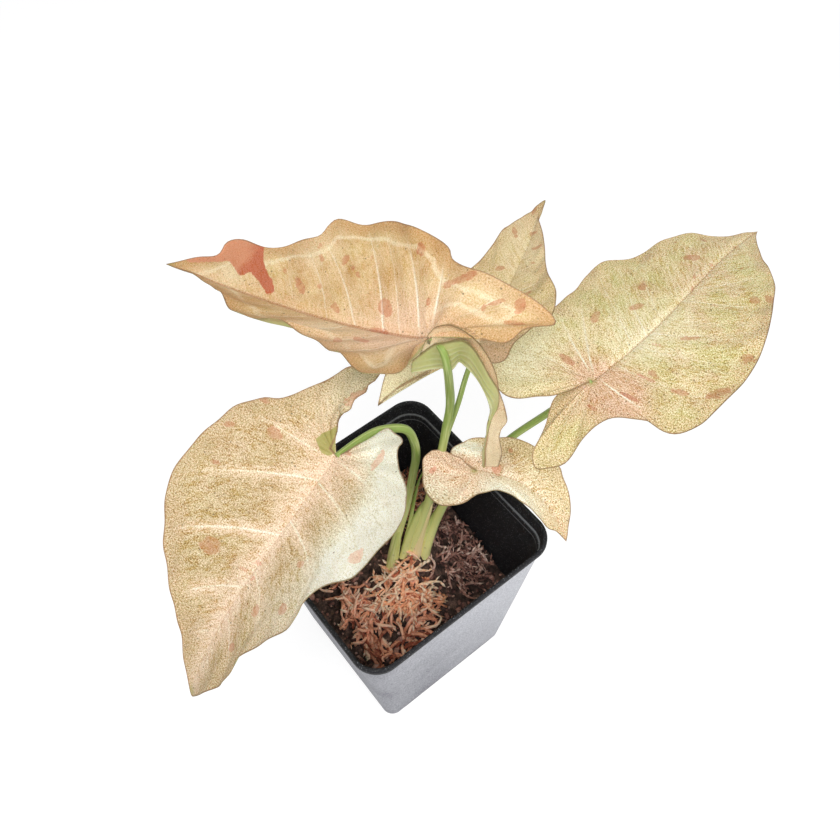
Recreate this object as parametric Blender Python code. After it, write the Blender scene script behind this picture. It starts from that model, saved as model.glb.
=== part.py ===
# Potted syngonium: a small arrowhead plant with five leaves in a 9 cm square nursery pot.
# World units are metres. The pot's underside is centred on the origin and its sides lie along X and Y.
import math

import bmesh
import bpy
import numpy as np
from mathutils import Matrix, Vector, noise

MM = 0.001
GAP = 0.3  # clearance between pieces that touch, in millimetres like all sizes below

POT_TOP_HALF = 45.0  # half the outer width at the rim
POT_BASE_HALF = 33.0
POT_HEIGHT = 100.0
POT_WALL = 1.2
POT_FLOOR = 1.6
RIM_HEIGHT = 3.0
RIM_STEP = 0.8  # how far the rim stands out from the wall below it
RIM_CHAMFER = 0.5
LEDGE_DROP = 7.0  # the small stacking ledge inside, below the rim
LEDGE_WIDTH = 0.3
CORNER_RADIUS_TOP = 10.5
CORNER_RADIUS_BASE = 5.0
CORNER_STEPS = 5
DRAIN_RADIUS = 4.0
DRAIN_OFFSET = 20.0
CUTTER_MARGIN = 2.0
ROUND_SEGMENTS = 24

CROWN = (6.0, -1.0)  # where the plant stands in the pot
STEM_RADIUS = 8.5
STEM_BOTTOM = 44.0
STEM_TOP = 66.0
STEM_BEVEL = 1.5
SHEATH_RADIUS = 4.2
PETIOLE_RADIUS = 1.6
BLADE_THICKNESS = 0.8
BLADE_RAYS = 22
BLADE_RINGS = (0.1, 0.28, 0.5, 0.72, 0.9, 1.0)

# Each blade hangs on three lines that leave its junction with the petiole: the midrib to the tip and one line
# back along each basal lobe. A line holds headings (yaw), slopes and rolls in degrees at even steps along it,
# and "rise" is how far a half lifts from the line. "left" and "right" are the flat outlines from the tip back
# to the notch, as (out from the midrib, along the midrib) in millimetres.
LEAVES = {
    "top": {
        "junction": (21, 3, 195),
        "length": 120,
        "lobe": 78,
        "midrib": {"yaw": (28, 18, 20), "slope": (-16, -13, -12), "roll": (2, 6, 2)},
        "rise": ((28, 28, 28), (22, 22, 22)),
        "lobes": (
            {
                "yaw": (28, 55, 50, 30, 0, -20),
                "slope": (-16, 50, 92, 92, 80, 65),
                "roll": (2, 0, 0, 0, 10, 20),
                "rise": (28, 30, 20, 0, 0),
            },
            {"yaw": (28, 21, 21), "slope": (-16, 8, 20), "roll": (2, 0, 0), "rise": (22, 10, 0)},
        ),
        "tip": 119,
        "left": (
            (1, 112), (1, 104), (8, 86), (18, 67), (22, 52), (21, 40), (21, 28), (27, 17), (34, 6), (34, -1),
            (28, -6), (20, -8), (15, -14), (14, -26), (15, -40), (14, -54), (9, -66), (4, -75), (1, -66),
            (1, -45), (1, -25), (1, -8),
        ),
        "right": (
            (4, 112), (10, 99), (17, 94), (20, 78), (28, 63), (35, 59), (38, 45), (40, 33), (38, 22),
            (34, 10), (28, 0), (24, -12), (22, -26), (18, -36), (11, -42), (6, -34), (4, -18), (2, -6),
        ),
    },
    "left": {
        "junction": (-14, 11, 150),
        "length": 106,
        "lobe": 50,
        "midrib": {"yaw": (108, 98, 100), "slope": (-10, -34, -60), "roll": (0, 2, 2)},
        "rise": ((26, 26, 20), (20, 20, 16)),
        "lobes": (
            {"yaw": (108, 105, 105), "slope": (-10, 20, 40), "roll": (0, 0, 0), "rise": (26, 10, 0)},
            {"yaw": (108, 102, 102), "slope": (-10, 0, 5), "roll": (0, 0, 0), "rise": (20, 10, 0)},
        ),
        "tip": 104,
        "left": (
            (7, 95), (13, 86), (22, 66), (30, 50), (33, 42), (33, 36), (40, 28), (44, 14), (40, 4), (28, -2),
            (18, -9), (15, -15), (10, -18), (6, -15), (4, -9), (3, -3),
        ),
        "right": (
            (4, 95), (13, 81), (23, 70), (32, 60), (39, 47), (43, 32), (42, 18), (37, 4), (27, -7), (21, -18),
            (19, -30), (13, -38), (8, -35), (5, -24), (5, -16), (6, -9), (5, -2),
        ),
    },
    "right": {
        "junction": (80, -19, 145),
        "length": 113,
        "lobe": 55,
        "midrib": {"yaw": (-90, -78, -83), "slope": (4, -4, -20), "roll": (0, -6, 4)},
        "rise": ((4, -2, -4), (4, 1, 0)),
        "lobes": (
            {"yaw": (-90, -85, -85), "slope": (4, 5, 20), "roll": (0, 0, 0), "rise": (4, 5, 0)},
            {"yaw": (-90, -85, -85), "slope": (4, 15, 30), "roll": (0, 0, 0), "rise": (4, 5, 0)},
        ),
        "tip": 111,
        "left": (
            (10, 105), (18, 95), (25, 80), (30, 66), (37, 54), (38, 40), (35, 23), (31, 8), (29, -4),
            (30, -16), (26, -23), (17, -27), (9, -20), (4, -12), (2, -4),
        ),
        "right": (
            (8, 108), (16, 99), (25, 83), (36, 57), (41, 35), (42, 18), (37, 6), (27, 1), (18, -6), (15, -16),
            (16, -26), (14, -36), (8, -42), (4, -36), (3, -20), (1, -5),
        ),
    },
    "back": {
        "junction": (47, 10, 160),
        "length": 102,
        "lobe": 50,
        "midrib": {"yaw": (-63, -58, -53), "slope": (0, -10, -12), "roll": (0, 0, 0)},
        "rise": ((15, 15, 15), (15, 15, 15)),
        "lobes": (
            {"yaw": (-64, -64, -64), "slope": (0, 10, 20), "roll": (0, 0, 0), "rise": (15, 10, 0)},
            {"yaw": (-64, -64, -64), "slope": (0, 10, 20), "roll": (0, 0, 0), "rise": (15, 10, 0)},
        ),
        "tip": 98,
        "left": (
            (2, 88), (6, 76), (10, 66), (13, 50), (20, 34), (28, 18), (29, 4), (25, -8), (22, -22), (21, -32),
            (17, -26), (10, -14), (3, -4),
        ),
        "right": (
            (2, 88), (4, 80), (7, 70), (12, 56), (18, 42), (26, 26), (30, 12), (26, -2), (18, -10), (14, -18),
            (8, -20), (5, -12), (2, -3),
        ),
    },
    "low": {
        "junction": (32, -10, 120),
        "length": 58,
        "lobe": 28,
        "midrib": {"yaw": (-130, -162, -176), "slope": (-5, -28, -66), "roll": (0, 0, 0)},
        "rise": ((10, 10, 10), (10, 10, 10)),
        "lobes": (
            {"yaw": (-128, -130, -130), "slope": (-5, 5, 20), "roll": (0, 0, 0), "rise": (10, 10, 0)},
            {"yaw": (-128, -130, -130), "slope": (-5, 20, 40), "roll": (0, 0, 0), "rise": (10, 10, 0)},
        ),
        "tip": 55,
        "left": ((3, 46), (8, 38), (13, 30), (16, 20), (16, 9), (14, -2), (10, -8), (5, -8), (2, -3)),
        "right": (
            (4, 46), (8, 36), (9, 26), (10, 15), (12, 5), (17, -3), (19, -8), (16, -15), (9, -20), (3, -18),
            (3, -10), (1, -3),
        ),
    },
}

# Centre lines of the petioles from the crown up to their blades.
PETIOLES = {
    "top": ((13, -2, 92), (20, 3, 104), (29, 8, 118), (34, 9, 136), (32, 5, 160), (27, 3, 180), (22, 3, 192)),
    "left": (
        (0.5, 1, 66.5), (7, 3, 92), (13, 5, 117), (14.5, 7, 135), (9, 9, 147), (1, 11, 149), (-7, 12, 148.5),
        (-13, 11.5, 147.6),
    ),
    "right": ((18, -2, 90), (34, -4, 99), (54, -5, 110), (70, -11, 126), (79, -18, 142)),
    "back": ((15, 2, 92), (25, 9, 106), (38, 13, 126), (45, 12, 145), (47, 10, 157.5)),
    "low": ((15, -6, 91), (21, -10, 101), (28, -11, 112), (31, -10, 117.5)),
}
SHEATH = ((9.5, -2, 66.8), (10, -2, 75), (14.5, -2, 88.5))

# Loose sphagnum and coir lying on the potting mix: centre, half sizes and turn in degrees.
MOSS = {
    "moss_crown": ((-2, -14, 61), (12, 8, 6), -30),
    "moss_front": ((-19, -18, 53), (13, 9, 4.5), 20),
    "moss_left": ((-26, 8, 54), (9, 6, 3.5), 60),
    "moss_back": ((25, 29, 61), (7, 6, 4), 0),
    "coir_chips": ((26, -9, 54), (9, 13, 5), 10),
}

MOSS_LUMP = 0.22
MOSS_LUMP_PITCH = 2.2

SOIL_EDGE = 52.0  # height of the potting mix at the walls
SOIL_SHOULDER = 44.0  # where its top surface starts to leave the walls
SOIL_MOUND = 12.0  # how far it rises round the plant
SOIL_MOUND_REACH = 17.0
SOIL_BACK_RISE = 7.0
SOIL_SIDE_FALL = 5.0
SOIL_ROUGHNESS = 1.5
SOIL_ROUGH_PITCH = 0.11
SOIL_RINGS = (0.98, 0.85, 0.7, 0.55, 0.4, 0.25, 0.1)

COLOURS = {
    "pot": ((0.02, 0.02, 0.022), 0.45),
    "potting_mix": ((0.045, 0.03, 0.02), 0.95),
    "moss": ((0.55, 0.27, 0.12), 0.95),
    "petiole": ((0.3, 0.42, 0.14), 0.5),
    "stem": ((0.35, 0.27, 0.15), 0.7),
    "blade": ((0.83, 0.67, 0.44), 0.5),
}


def clear_scene():
    for obj in list(bpy.data.objects):
        bpy.data.objects.remove(obj)


def material(name):
    colour, roughness = COLOURS[name]
    found = bpy.data.materials.get(name) or bpy.data.materials.new(name)
    found.use_nodes = True
    shader = found.node_tree.nodes["Principled BSDF"]
    shader.inputs["Base Color"].default_value = (*colour, 1)
    shader.inputs["Roughness"].default_value = roughness
    shader.inputs["Metallic"].default_value = 0
    return found


def add_object(name, mesh_data, slot, smooth=True):
    obj = bpy.data.objects.new(name, mesh_data)
    bpy.context.scene.collection.objects.link(obj)
    mesh_data.materials.append(material(slot))
    if smooth and obj.type == "MESH":
        mesh_data.shade_smooth()
    return obj


def mesh_from(bm, name):
    bmesh.ops.recalc_face_normals(bm, faces=bm.faces)
    mesh = bpy.data.meshes.new(name)
    bm.to_mesh(mesh)
    bm.free()
    return mesh


def through(values, t):
    """Smooth curve through evenly spaced values, for t from 0 to 1."""
    v = np.asarray(values, float)
    padded = np.concatenate([[2 * v[0] - v[1]], v, [2 * v[-1] - v[-2]]])
    s = np.clip(t, 0, 1) * (len(v) - 1)
    i = np.minimum(s.astype(int), len(v) - 2)
    f = s - i
    if v.ndim > 1:
        f = f[:, None]
    a, b, c, d = padded[i], padded[i + 1], padded[i + 2], padded[i + 3]
    return b + 0.5 * f * (c - a + f * (2 * a - 5 * b + 4 * c - d + f * (3 * (b - c) + d - a)))


def walk(line, reach, direction):
    """Points of a blade's line, with the sideways and upward directions there."""
    steps = 60
    t = np.linspace(0, 1, steps + 1)
    yaw, slope, roll = (np.radians(through(line[key], t)) for key in ("yaw", "slope", "roll"))
    ahead = np.stack([-np.sin(yaw) * np.cos(slope), np.cos(yaw) * np.cos(slope), np.sin(slope)], -1)
    side = np.stack([np.cos(yaw), np.sin(yaw), 0 * yaw], -1)
    up = np.cross(side, ahead)
    turned_side = side * np.cos(roll)[:, None] - up * np.sin(roll)[:, None]
    turned_up = up * np.cos(roll)[:, None] + side * np.sin(roll)[:, None]
    moves = (ahead[1:] + ahead[:-1]) / 2 * direction * reach / steps
    points = np.concatenate([np.zeros((1, 3)), np.cumsum(moves, 0)])
    return t * reach, points, turned_side, turned_up


def at(distances, walked):
    """The walked line's point and directions at these distances along it."""
    along, *tables = walked
    return [np.stack([np.interp(distances, along, table[:, k]) for k in range(3)], -1) for table in tables]


def bend(leaf, half, out, along):
    """Takes points of the flat blade to their places in the world, in millimetres."""
    lobe = leaf["lobes"][half]
    ahead = along >= 0
    front = at(np.maximum(along, 0), walk(leaf["midrib"], leaf["length"], 1))
    back = at(np.maximum(-along, 0), walk(lobe, leaf["lobe"], -1))
    point, side, up = (np.where(ahead[:, None], a, b) for a, b in zip(front, back))
    rise_front = through(leaf["rise"][half], along / leaf["length"])
    rise_back = through(lobe["rise"], -along / leaf["lobe"])
    rise = np.radians(np.where(ahead, rise_front, rise_back))[:, None]
    sideways = out[:, None] * (1 if half else -1)
    point = point + side * sideways * np.cos(rise) + up * out[:, None] * np.sin(rise)
    return np.asarray(leaf["junction"]) + point


def add_blade(name, leaf):
    """Both halves of a blade as fans of rays from the junction, given their thickness downwards."""
    bm = bmesh.new()
    for half, key in enumerate(("left", "right")):
        outline = ((0, leaf["tip"]), *leaf[key])
        edge = through(outline, np.linspace(0, 1, BLADE_RAYS))
        rings = [[bm.verts.new(Vector(leaf["junction"]) * MM)] * BLADE_RAYS]
        for share in BLADE_RINGS:
            places = bend(leaf, half, edge[:, 0] * share, edge[:, 1] * share)
            rings.append([bm.verts.new(Vector(place) * MM) for place in places])
        for inner, outer in zip(rings, rings[1:]):
            for k in range(BLADE_RAYS - 1):
                corners = list(dict.fromkeys((inner[k], outer[k], outer[k + 1], inner[k + 1])))
                bm.faces.new(corners if half else corners[::-1])
    bmesh.ops.remove_doubles(bm, verts=bm.verts, dist=0.001 * MM)
    mesh = bpy.data.meshes.new(name)
    bm.to_mesh(mesh)
    bm.free()
    blade = add_object(name, mesh, "blade")
    solidify = blade.modifiers.new("thickness", "SOLIDIFY")
    solidify.thickness = BLADE_THICKNESS * MM
    solidify.offset = 1
    return blade


def add_tube(name, points, radii, slot):
    """A round stem along these points, closed at both ends."""
    curve = bpy.data.curves.new(name, "CURVE")
    curve.dimensions = "3D"
    curve.bevel_depth = MM
    curve.bevel_resolution = 2
    curve.resolution_u = 4
    curve.use_fill_caps = True
    spline = curve.splines.new("BEZIER")
    spline.bezier_points.add(len(points) - 1)
    for knot, point, radius in zip(spline.bezier_points, points, radii):
        knot.co = Vector(point) * MM
        knot.radius = radius
        knot.handle_left_type = "AUTO"
        knot.handle_right_type = "AUTO"
    return add_object(name, curve, slot)


def rounded_square(half, radius, z):
    """Points of a square with round corners, anticlockwise from above."""
    points = []
    for corner in range(4):
        turn = corner * math.pi / 2
        for step in range(CORNER_STEPS + 1):
            angle = turn + step / CORNER_STEPS * math.pi / 2
            reach = (half - radius) * math.sqrt(2)
            centre = turn + math.pi / 4
            points.append(
                (
                    reach * math.cos(centre) + radius * math.cos(angle),
                    reach * math.sin(centre) + radius * math.sin(angle),
                    z,
                )
            )
    return points


def corner_radius(z):
    share = z / POT_HEIGHT
    return CORNER_RADIUS_BASE + (CORNER_RADIUS_TOP - CORNER_RADIUS_BASE) * share


def wall_half(z):
    """Half the outer width of the pot's wall at a height, without the rim."""
    return POT_BASE_HALF + (POT_TOP_HALF - RIM_STEP - POT_BASE_HALF) * z / POT_HEIGHT


def loft(sections, name):
    """Skins a stack of sections, each a list of as many points, and closes both ends."""
    bm = bmesh.new()
    rings = [[bm.verts.new(Vector(point) * MM) for point in section] for section in sections]
    for low, high in zip(rings, rings[1:]):
        for k in range(len(low)):
            bm.faces.new((low[k], low[k - 1], high[k - 1], high[k]))
    bm.faces.new(rings[0])
    bm.faces.new(rings[-1])
    return mesh_from(bm, name)


def cut(obj, cutter):
    cutter.hide_render = True
    cutter.display_type = "WIRE"
    boolean = obj.modifiers.new("cut", "BOOLEAN")
    boolean.operation = "DIFFERENCE"
    boolean.solver = "EXACT"
    boolean.object = cutter


def add_cylinder(name, centre, radius, bottom, top):
    bm = bmesh.new()
    bmesh.ops.create_cone(
        bm,
        cap_ends=True,
        segments=ROUND_SEGMENTS,
        radius1=radius * MM,
        radius2=radius * MM,
        depth=(top - bottom) * MM,
    )
    bmesh.ops.translate(bm, verts=bm.verts, vec=Vector((*centre, (top + bottom) / 2)) * MM)
    return add_object(name, mesh_from(bm, name), "stem")


def add_pot():
    """A thin tapered wall with a stepped rim, walked up the outside and down the inside."""
    rim_bottom = POT_HEIGHT - RIM_HEIGHT
    ledge = POT_HEIGHT - LEDGE_DROP
    inner_top = POT_TOP_HALF - POT_WALL - LEDGE_WIDTH
    profile = (
        (wall_half(0), 0),
        (wall_half(rim_bottom), rim_bottom),
        (POT_TOP_HALF, rim_bottom + RIM_CHAMFER),
        (POT_TOP_HALF, POT_HEIGHT - RIM_CHAMFER),
        (POT_TOP_HALF - RIM_CHAMFER, POT_HEIGHT),
        (inner_top + RIM_CHAMFER, POT_HEIGHT),
        (inner_top, POT_HEIGHT - RIM_CHAMFER),
        (inner_top - LEDGE_WIDTH, ledge),
        (wall_half(ledge) - POT_WALL, ledge - RIM_STEP),
        (wall_half(POT_FLOOR) - POT_WALL, POT_FLOOR),
    )
    sections = []
    for half, z in profile:
        inset = max(0, wall_half(z) - half)
        sections.append(rounded_square(half, corner_radius(z) - inset, z))
    pot = add_object("nursery_pot", loft(sections, "nursery_pot"), "pot", smooth=False)
    pot.data.shade_smooth()
    pot.data.set_sharp_from_angle(angle=math.radians(30))
    for number, (side_x, side_y) in enumerate(((1, 1), (-1, 1), (-1, -1), (1, -1))):
        centre = (DRAIN_OFFSET * side_x, DRAIN_OFFSET * side_y)
        hole = add_cylinder(
            f"drain_cutter_{number + 1}", centre, DRAIN_RADIUS, -CUTTER_MARGIN, POT_FLOOR + CUTTER_MARGIN
        )
        cut(pot, hole)


def soil_height(x, y):
    """The potting mix mounds round the plant, rises to the back and falls to the right."""
    distance = math.hypot(x - CROWN[0], y - CROWN[1])
    mound = SOIL_MOUND * math.exp(-((distance / SOIL_MOUND_REACH) ** 2))
    back_rise = SOIL_BACK_RISE * min(1, max(0, (x + y) / 60))
    side_fall = SOIL_SIDE_FALL * min(1, max(0, (x - y - 20) / 40))
    rough = SOIL_ROUGHNESS * noise.noise(Vector((x, y, 0)) * SOIL_ROUGH_PITCH)
    return SOIL_EDGE + mound + back_rise - side_fall + rough


def soil_sections(lift):
    """The potting mix from the pot's floor up to its uneven top, raised by this much."""
    bottom = POT_FLOOR + GAP
    clearance = POT_WALL + GAP
    floor = rounded_square(wall_half(bottom) - clearance, corner_radius(bottom) - clearance, bottom)
    edge = rounded_square(
        wall_half(SOIL_SHOULDER) - clearance, corner_radius(SOIL_SHOULDER) - clearance, SOIL_SHOULDER
    )
    sections = [floor, edge]
    for share in SOIL_RINGS:
        ring = []
        for x, y, _ in edge:
            px = x * share + CROWN[0] * (1 - share)
            py = y * share + CROWN[1] * (1 - share)
            ring.append((px, py, soil_height(px, py) + lift))
        sections.append(ring)
    return sections


def add_moss(name, centre, size, turn, seed):
    """A loose clump as one lumpy closed solid."""
    bm = bmesh.new()
    bmesh.ops.create_icosphere(bm, subdivisions=3, radius=1)
    for vert in bm.verts:
        lump = 1 + MOSS_LUMP * noise.noise(vert.co * MOSS_LUMP_PITCH + Vector((seed, 0, 0)))
        vert.co = [lump * size[k] * vert.co[k] for k in range(3)]
    matrix = Matrix.Scale(MM, 4) @ Matrix.Translation(centre) @ Matrix.Rotation(turn, 4, "Z")
    bmesh.ops.transform(bm, matrix=matrix, verts=bm.verts)
    return add_object(name, mesh_from(bm, name), "moss")


def add_soil_and_moss():
    """The potting mix, with a pit for the stem, and the loose moss that lies on it."""
    pit = add_cylinder("stem_pit", CROWN, STEM_RADIUS + GAP, STEM_BOTTOM - GAP, STEM_TOP + STEM_RADIUS)
    soil = add_object("potting_mix", loft(soil_sections(0), "potting_mix"), "potting_mix")
    cut(soil, pit)
    raised_soil = add_object("raised_soil", loft(soil_sections(GAP), "raised_soil"), "potting_mix")
    for seed, (name, (centre, size, turn)) in enumerate(MOSS.items()):
        clump = add_moss(name, centre, size, math.radians(turn), seed)
        cut(clump, raised_soil)
        cut(clump, pit)


def add_stem():
    stem = add_cylinder("stem_base", CROWN, STEM_RADIUS, STEM_BOTTOM, STEM_TOP)
    bevel = stem.modifiers.new("round", "BEVEL")
    bevel.width = STEM_BEVEL * MM
    bevel.segments = 2
    add_tube("leaf_sheath", SHEATH, [SHEATH_RADIUS] * len(SHEATH), "petiole")


def main():
    clear_scene()
    add_pot()
    add_soil_and_moss()
    add_stem()
    for name, leaf in LEAVES.items():
        add_blade(f"blade_{name}", leaf)
        route = PETIOLES[name]
        add_tube(f"petiole_{name}", route, [PETIOLE_RADIUS] * len(route), "petiole")


main()
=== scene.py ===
import math

import bmesh
import bpy
import numpy as np
from mathutils import Matrix, Vector, noise


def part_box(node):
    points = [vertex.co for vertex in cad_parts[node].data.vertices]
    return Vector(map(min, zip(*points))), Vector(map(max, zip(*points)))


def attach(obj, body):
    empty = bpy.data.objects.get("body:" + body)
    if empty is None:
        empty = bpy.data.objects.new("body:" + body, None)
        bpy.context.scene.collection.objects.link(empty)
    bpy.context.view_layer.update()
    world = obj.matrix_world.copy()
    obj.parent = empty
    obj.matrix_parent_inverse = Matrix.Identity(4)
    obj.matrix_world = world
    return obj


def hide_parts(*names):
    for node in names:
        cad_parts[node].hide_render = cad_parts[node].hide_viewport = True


mm = 0.001
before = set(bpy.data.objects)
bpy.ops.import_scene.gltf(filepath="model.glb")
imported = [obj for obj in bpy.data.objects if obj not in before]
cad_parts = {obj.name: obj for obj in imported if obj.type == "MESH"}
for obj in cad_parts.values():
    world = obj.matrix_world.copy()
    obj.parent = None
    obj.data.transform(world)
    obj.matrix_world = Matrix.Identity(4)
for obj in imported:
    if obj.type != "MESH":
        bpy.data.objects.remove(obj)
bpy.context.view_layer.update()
print("frame loaded with", len(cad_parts), "nodes")


# Shader sums: a wire is one socket, and arithmetic on wires adds the nodes for it.
class Wire:
    def __init__(self, paint, socket):
        self.paint = paint
        self.socket = socket

    def maths(self, operation, *others):
        return self.paint.add("ShaderNodeMath", {"operation": operation}, (self, *others))

    def __add__(self, other):
        return self.maths("ADD", other)

    def __sub__(self, other):
        return self.maths("SUBTRACT", other)

    def __rsub__(self, other):
        return self.paint.add("ShaderNodeMath", {"operation": "SUBTRACT"}, (other, self))

    def __mul__(self, other):
        return self.maths("MULTIPLY", other)

    def __truediv__(self, other):
        return self.maths("DIVIDE", other)

    def __abs__(self):
        return self.maths("ABSOLUTE")

    __radd__ = __add__
    __rmul__ = __mul__

    def most(self, other):
        return self.maths("MAXIMUM", other)

    def least(self, other):
        return self.maths("MINIMUM", other)

    def between(self, low, high):  # 0 at low, 1 at high, smooth on the way
        settings = {"interpolation_type": "SMOOTHSTEP"}
        return self.paint.add("ShaderNodeMapRange", settings, {0: self, 1: low, 2: high, 3: 0.0, 4: 1.0})

    def fromWhole(self):  # distance to the nearest whole number
        return abs((self + 0.5).maths("FRACT") - 0.5)


class Paint:
    def __init__(self, name, **fixed):
        self.material = bpy.data.materials.new(name)
        self.material.use_nodes = True
        self.tree = self.material.node_tree
        self.shader = self.tree.nodes["Principled BSDF"]
        for socket, value in fixed.items():
            self.shader.inputs[socket.replace("_", " ")].default_value = value

    def add(self, kind, settings=None, values=(), output=0):
        node = self.tree.nodes.new(kind)
        for key, value in (settings or {}).items():
            if key == "stops":
                self.setStops(node.color_ramp, value)
            else:
                setattr(node, key, value)
        pairs = values.items() if isinstance(values, dict) else enumerate(values)
        for key, value in pairs:
            self.feed(node.inputs[key], value)
        return Wire(self, node.outputs[output])

    def feed(self, socket, value):
        if isinstance(value, Wire):
            self.tree.links.new(value.socket, socket)
        elif socket.type == "RGBA":
            socket.default_value = (*value[:3], 1)
        else:
            socket.default_value = value

    def setStops(self, ramp, stops):
        while len(ramp.elements) < len(stops):
            ramp.elements.new(1)
        for element, (position, colour) in zip(ramp.elements, stops):
            element.position = position
            element.color = (*colour, 1)

    def ramp(self, factor, *stops):
        return self.add("ShaderNodeValToRGB", {"stops": stops}, {0: factor})

    def mix(self, factor, first, second, how="MIX"):
        settings = {"data_type": "RGBA", "blend_type": how, "clamp_factor": True, "clamp_result": True}
        return self.add("ShaderNodeMix", settings, {0: factor, 6: first, 7: second}, output=2)

    def layers(self, base, *coats):  # lays coats of (mask, colour) over a colour
        for mask, colour in coats:
            base = self.mix(mask, base, colour)
        return base

    def value(self, name):
        return self.add("ShaderNodeAttribute", {"attribute_name": name}, output=2)

    def place(self, name):
        return self.add("ShaderNodeAttribute", {"attribute_name": name}, output=1)

    def noise(self, at, scale, detail=3, rough=0.55):
        values = {"Vector": at, "Scale": scale, "Detail": detail, "Roughness": rough}
        return self.add("ShaderNodeTexNoise", None, values)

    def cells(self, at, scale, output="Distance"):
        return self.add("ShaderNodeTexVoronoi", None, {"Vector": at, "Scale": scale}, output)

    def flecks(self, at, scale, size, chosen, channel, wobble=0.0):  # specks in cells that a channel picks
        speck = 1 - (self.cells(at, scale) + wobble).between(*size)
        return speck * self.part(self.cells(at, scale, "Color"), channel).between(*chosen)

    def grade(self, amount, base, value, reach, dark, light):  # darkens and lightens a colour by a noise
        tones = self.ramp(value, (0.5 - reach, dark), (0.5, (0.5, 0.5, 0.5)), (0.5 + reach, light))
        return self.mix(amount, base, tones, "LINEAR_LIGHT")

    def stretch(self, at, factors):
        return self.add("ShaderNodeVectorMath", {"operation": "MULTIPLY"}, (at, factors))

    def part(self, vector, axis):
        return self.add("ShaderNodeSeparateXYZ", None, (vector,), output=axis)

    def finish(self, colour, rough, height, depth=0.2, strength=1.0):  # depth of the relief in mm
        relief = {"Strength": strength, "Distance": depth * mm, "Height": height}
        bump = self.add("ShaderNodeBump", None, relief)
        for socket, value in (("Base Color", colour), ("Roughness", rough), ("Normal", bump)):
            self.feed(self.shader.inputs[socket], value)
        return self.material


def curveThrough(values, t):  # smooth curve through evenly spaced values, t from 0 to 1
    v = np.asarray(values, float)
    padded = np.concatenate([[2 * v[0] - v[1]], v, [2 * v[-1] - v[-2]]])
    s = np.clip(t, 0, 1) * (len(v) - 1)
    i = np.minimum(s.astype(int), len(v) - 2)
    f = s - i
    if v.ndim > 1:
        f = f[:, None]
    a, b, c, d = padded[i], padded[i + 1], padded[i + 2], padded[i + 3]
    return b + 0.5 * f * (c - a + f * (2 * a - 5 * b + 4 * c - d + f * (3 * (b - c) + d - a)))


def walked(points):  # how far along the line of points each one lies
    steps = np.linalg.norm(np.diff(points, axis=0), axis=-1)
    return np.concatenate([0 * steps[:1], np.cumsum(steps, 0)])


def evenAlong(points, count):  # the same line with its points evenly spaced
    run = walked(points)
    wanted = np.linspace(0, run[-1], count)
    return np.stack([np.interp(wanted, run, points[:, k]) for k in range(points.shape[1])], -1), wanted


def smoothStep(x, low, high):
    t = np.clip((x - low) / (high - low), 0, 1)
    return t * t * (3 - 2 * t)


def hump(distance, width):  # 1 at no distance, falling away smoothly
    return np.exp(-((distance / width) ** 2))


def unit(vector):
    return vector / np.linalg.norm(vector)


def gridFaces(rows, columns):
    starts = [row * columns + column for row in range(rows - 1) for column in range(columns - 1)]
    return [[a, a + 1, a + columns + 1, a + columns] for a in starts]


def gridBorder(rows, columns):  # the points round a grid, in order
    border = list(range(columns)) + [row * columns + columns - 1 for row in range(1, rows)]
    border += [(rows - 1) * columns + column for column in range(columns - 2, -1, -1)]
    return border + [row * columns for row in range(rows - 2, 0, -1)]


def ringFaces(rings, sides):  # the skin over closed rings of points, with both ends
    faces = []
    for start in range(0, (rings - 1) * sides, sides):
        for a in range(sides):
            b = (a + 1) % sides
            faces.append([start + a, start + b, start + sides + b, start + sides + a])
    return faces + [list(range(sides))[::-1], [(rings - 1) * sides + a for a in range(sides)]]


def twoSided(upper, lower, faces, border, fields):  # two skins of the same faces, joined along their border
    total = len(upper)
    under = [[v + total for v in face[::-1]] for face in faces]
    rim = [[a, b, b + total, a + total] for a, b in zip(border, border[1:] + border[:1])]
    slots = [0] * len(faces) + [1] * (len(under) + len(rim))
    fields = {key: np.concatenate([values, values]) for key, values in fields.items()}
    return np.concatenate([upper, lower]), faces + under + rim, slots, fields


def addObject(name, data):
    piece = bpy.data.objects.new(name, data)
    bpy.context.scene.collection.objects.link(piece)
    return piece


def makePiece(name, points, faces, materials, fields, nodes=(), faceSlots=None):  # points in mm
    mesh = bpy.data.meshes.new(name)
    mesh.from_pydata((np.asarray(points) * mm).tolist(), [], [tuple(int(v) for v in face) for face in faces])
    for key, values in fields.items():
        values = np.asarray(values, np.float32)
        kind, item = ("FLOAT", "value") if values.ndim == 1 else ("FLOAT_VECTOR", "vector")
        mesh.attributes.new(key, kind, "POINT").data.foreach_set(item, values.ravel())
    for material in materials:
        mesh.materials.append(material)
    if faceSlots is not None:
        mesh.polygons.foreach_set("material_index", np.asarray(faceSlots, np.int32))
    mesh.shade_smooth()
    mesh.update()
    piece = addObject(name, mesh)
    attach(piece, "root")
    if nodes:
        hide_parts(*nodes)
    return piece


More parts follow.
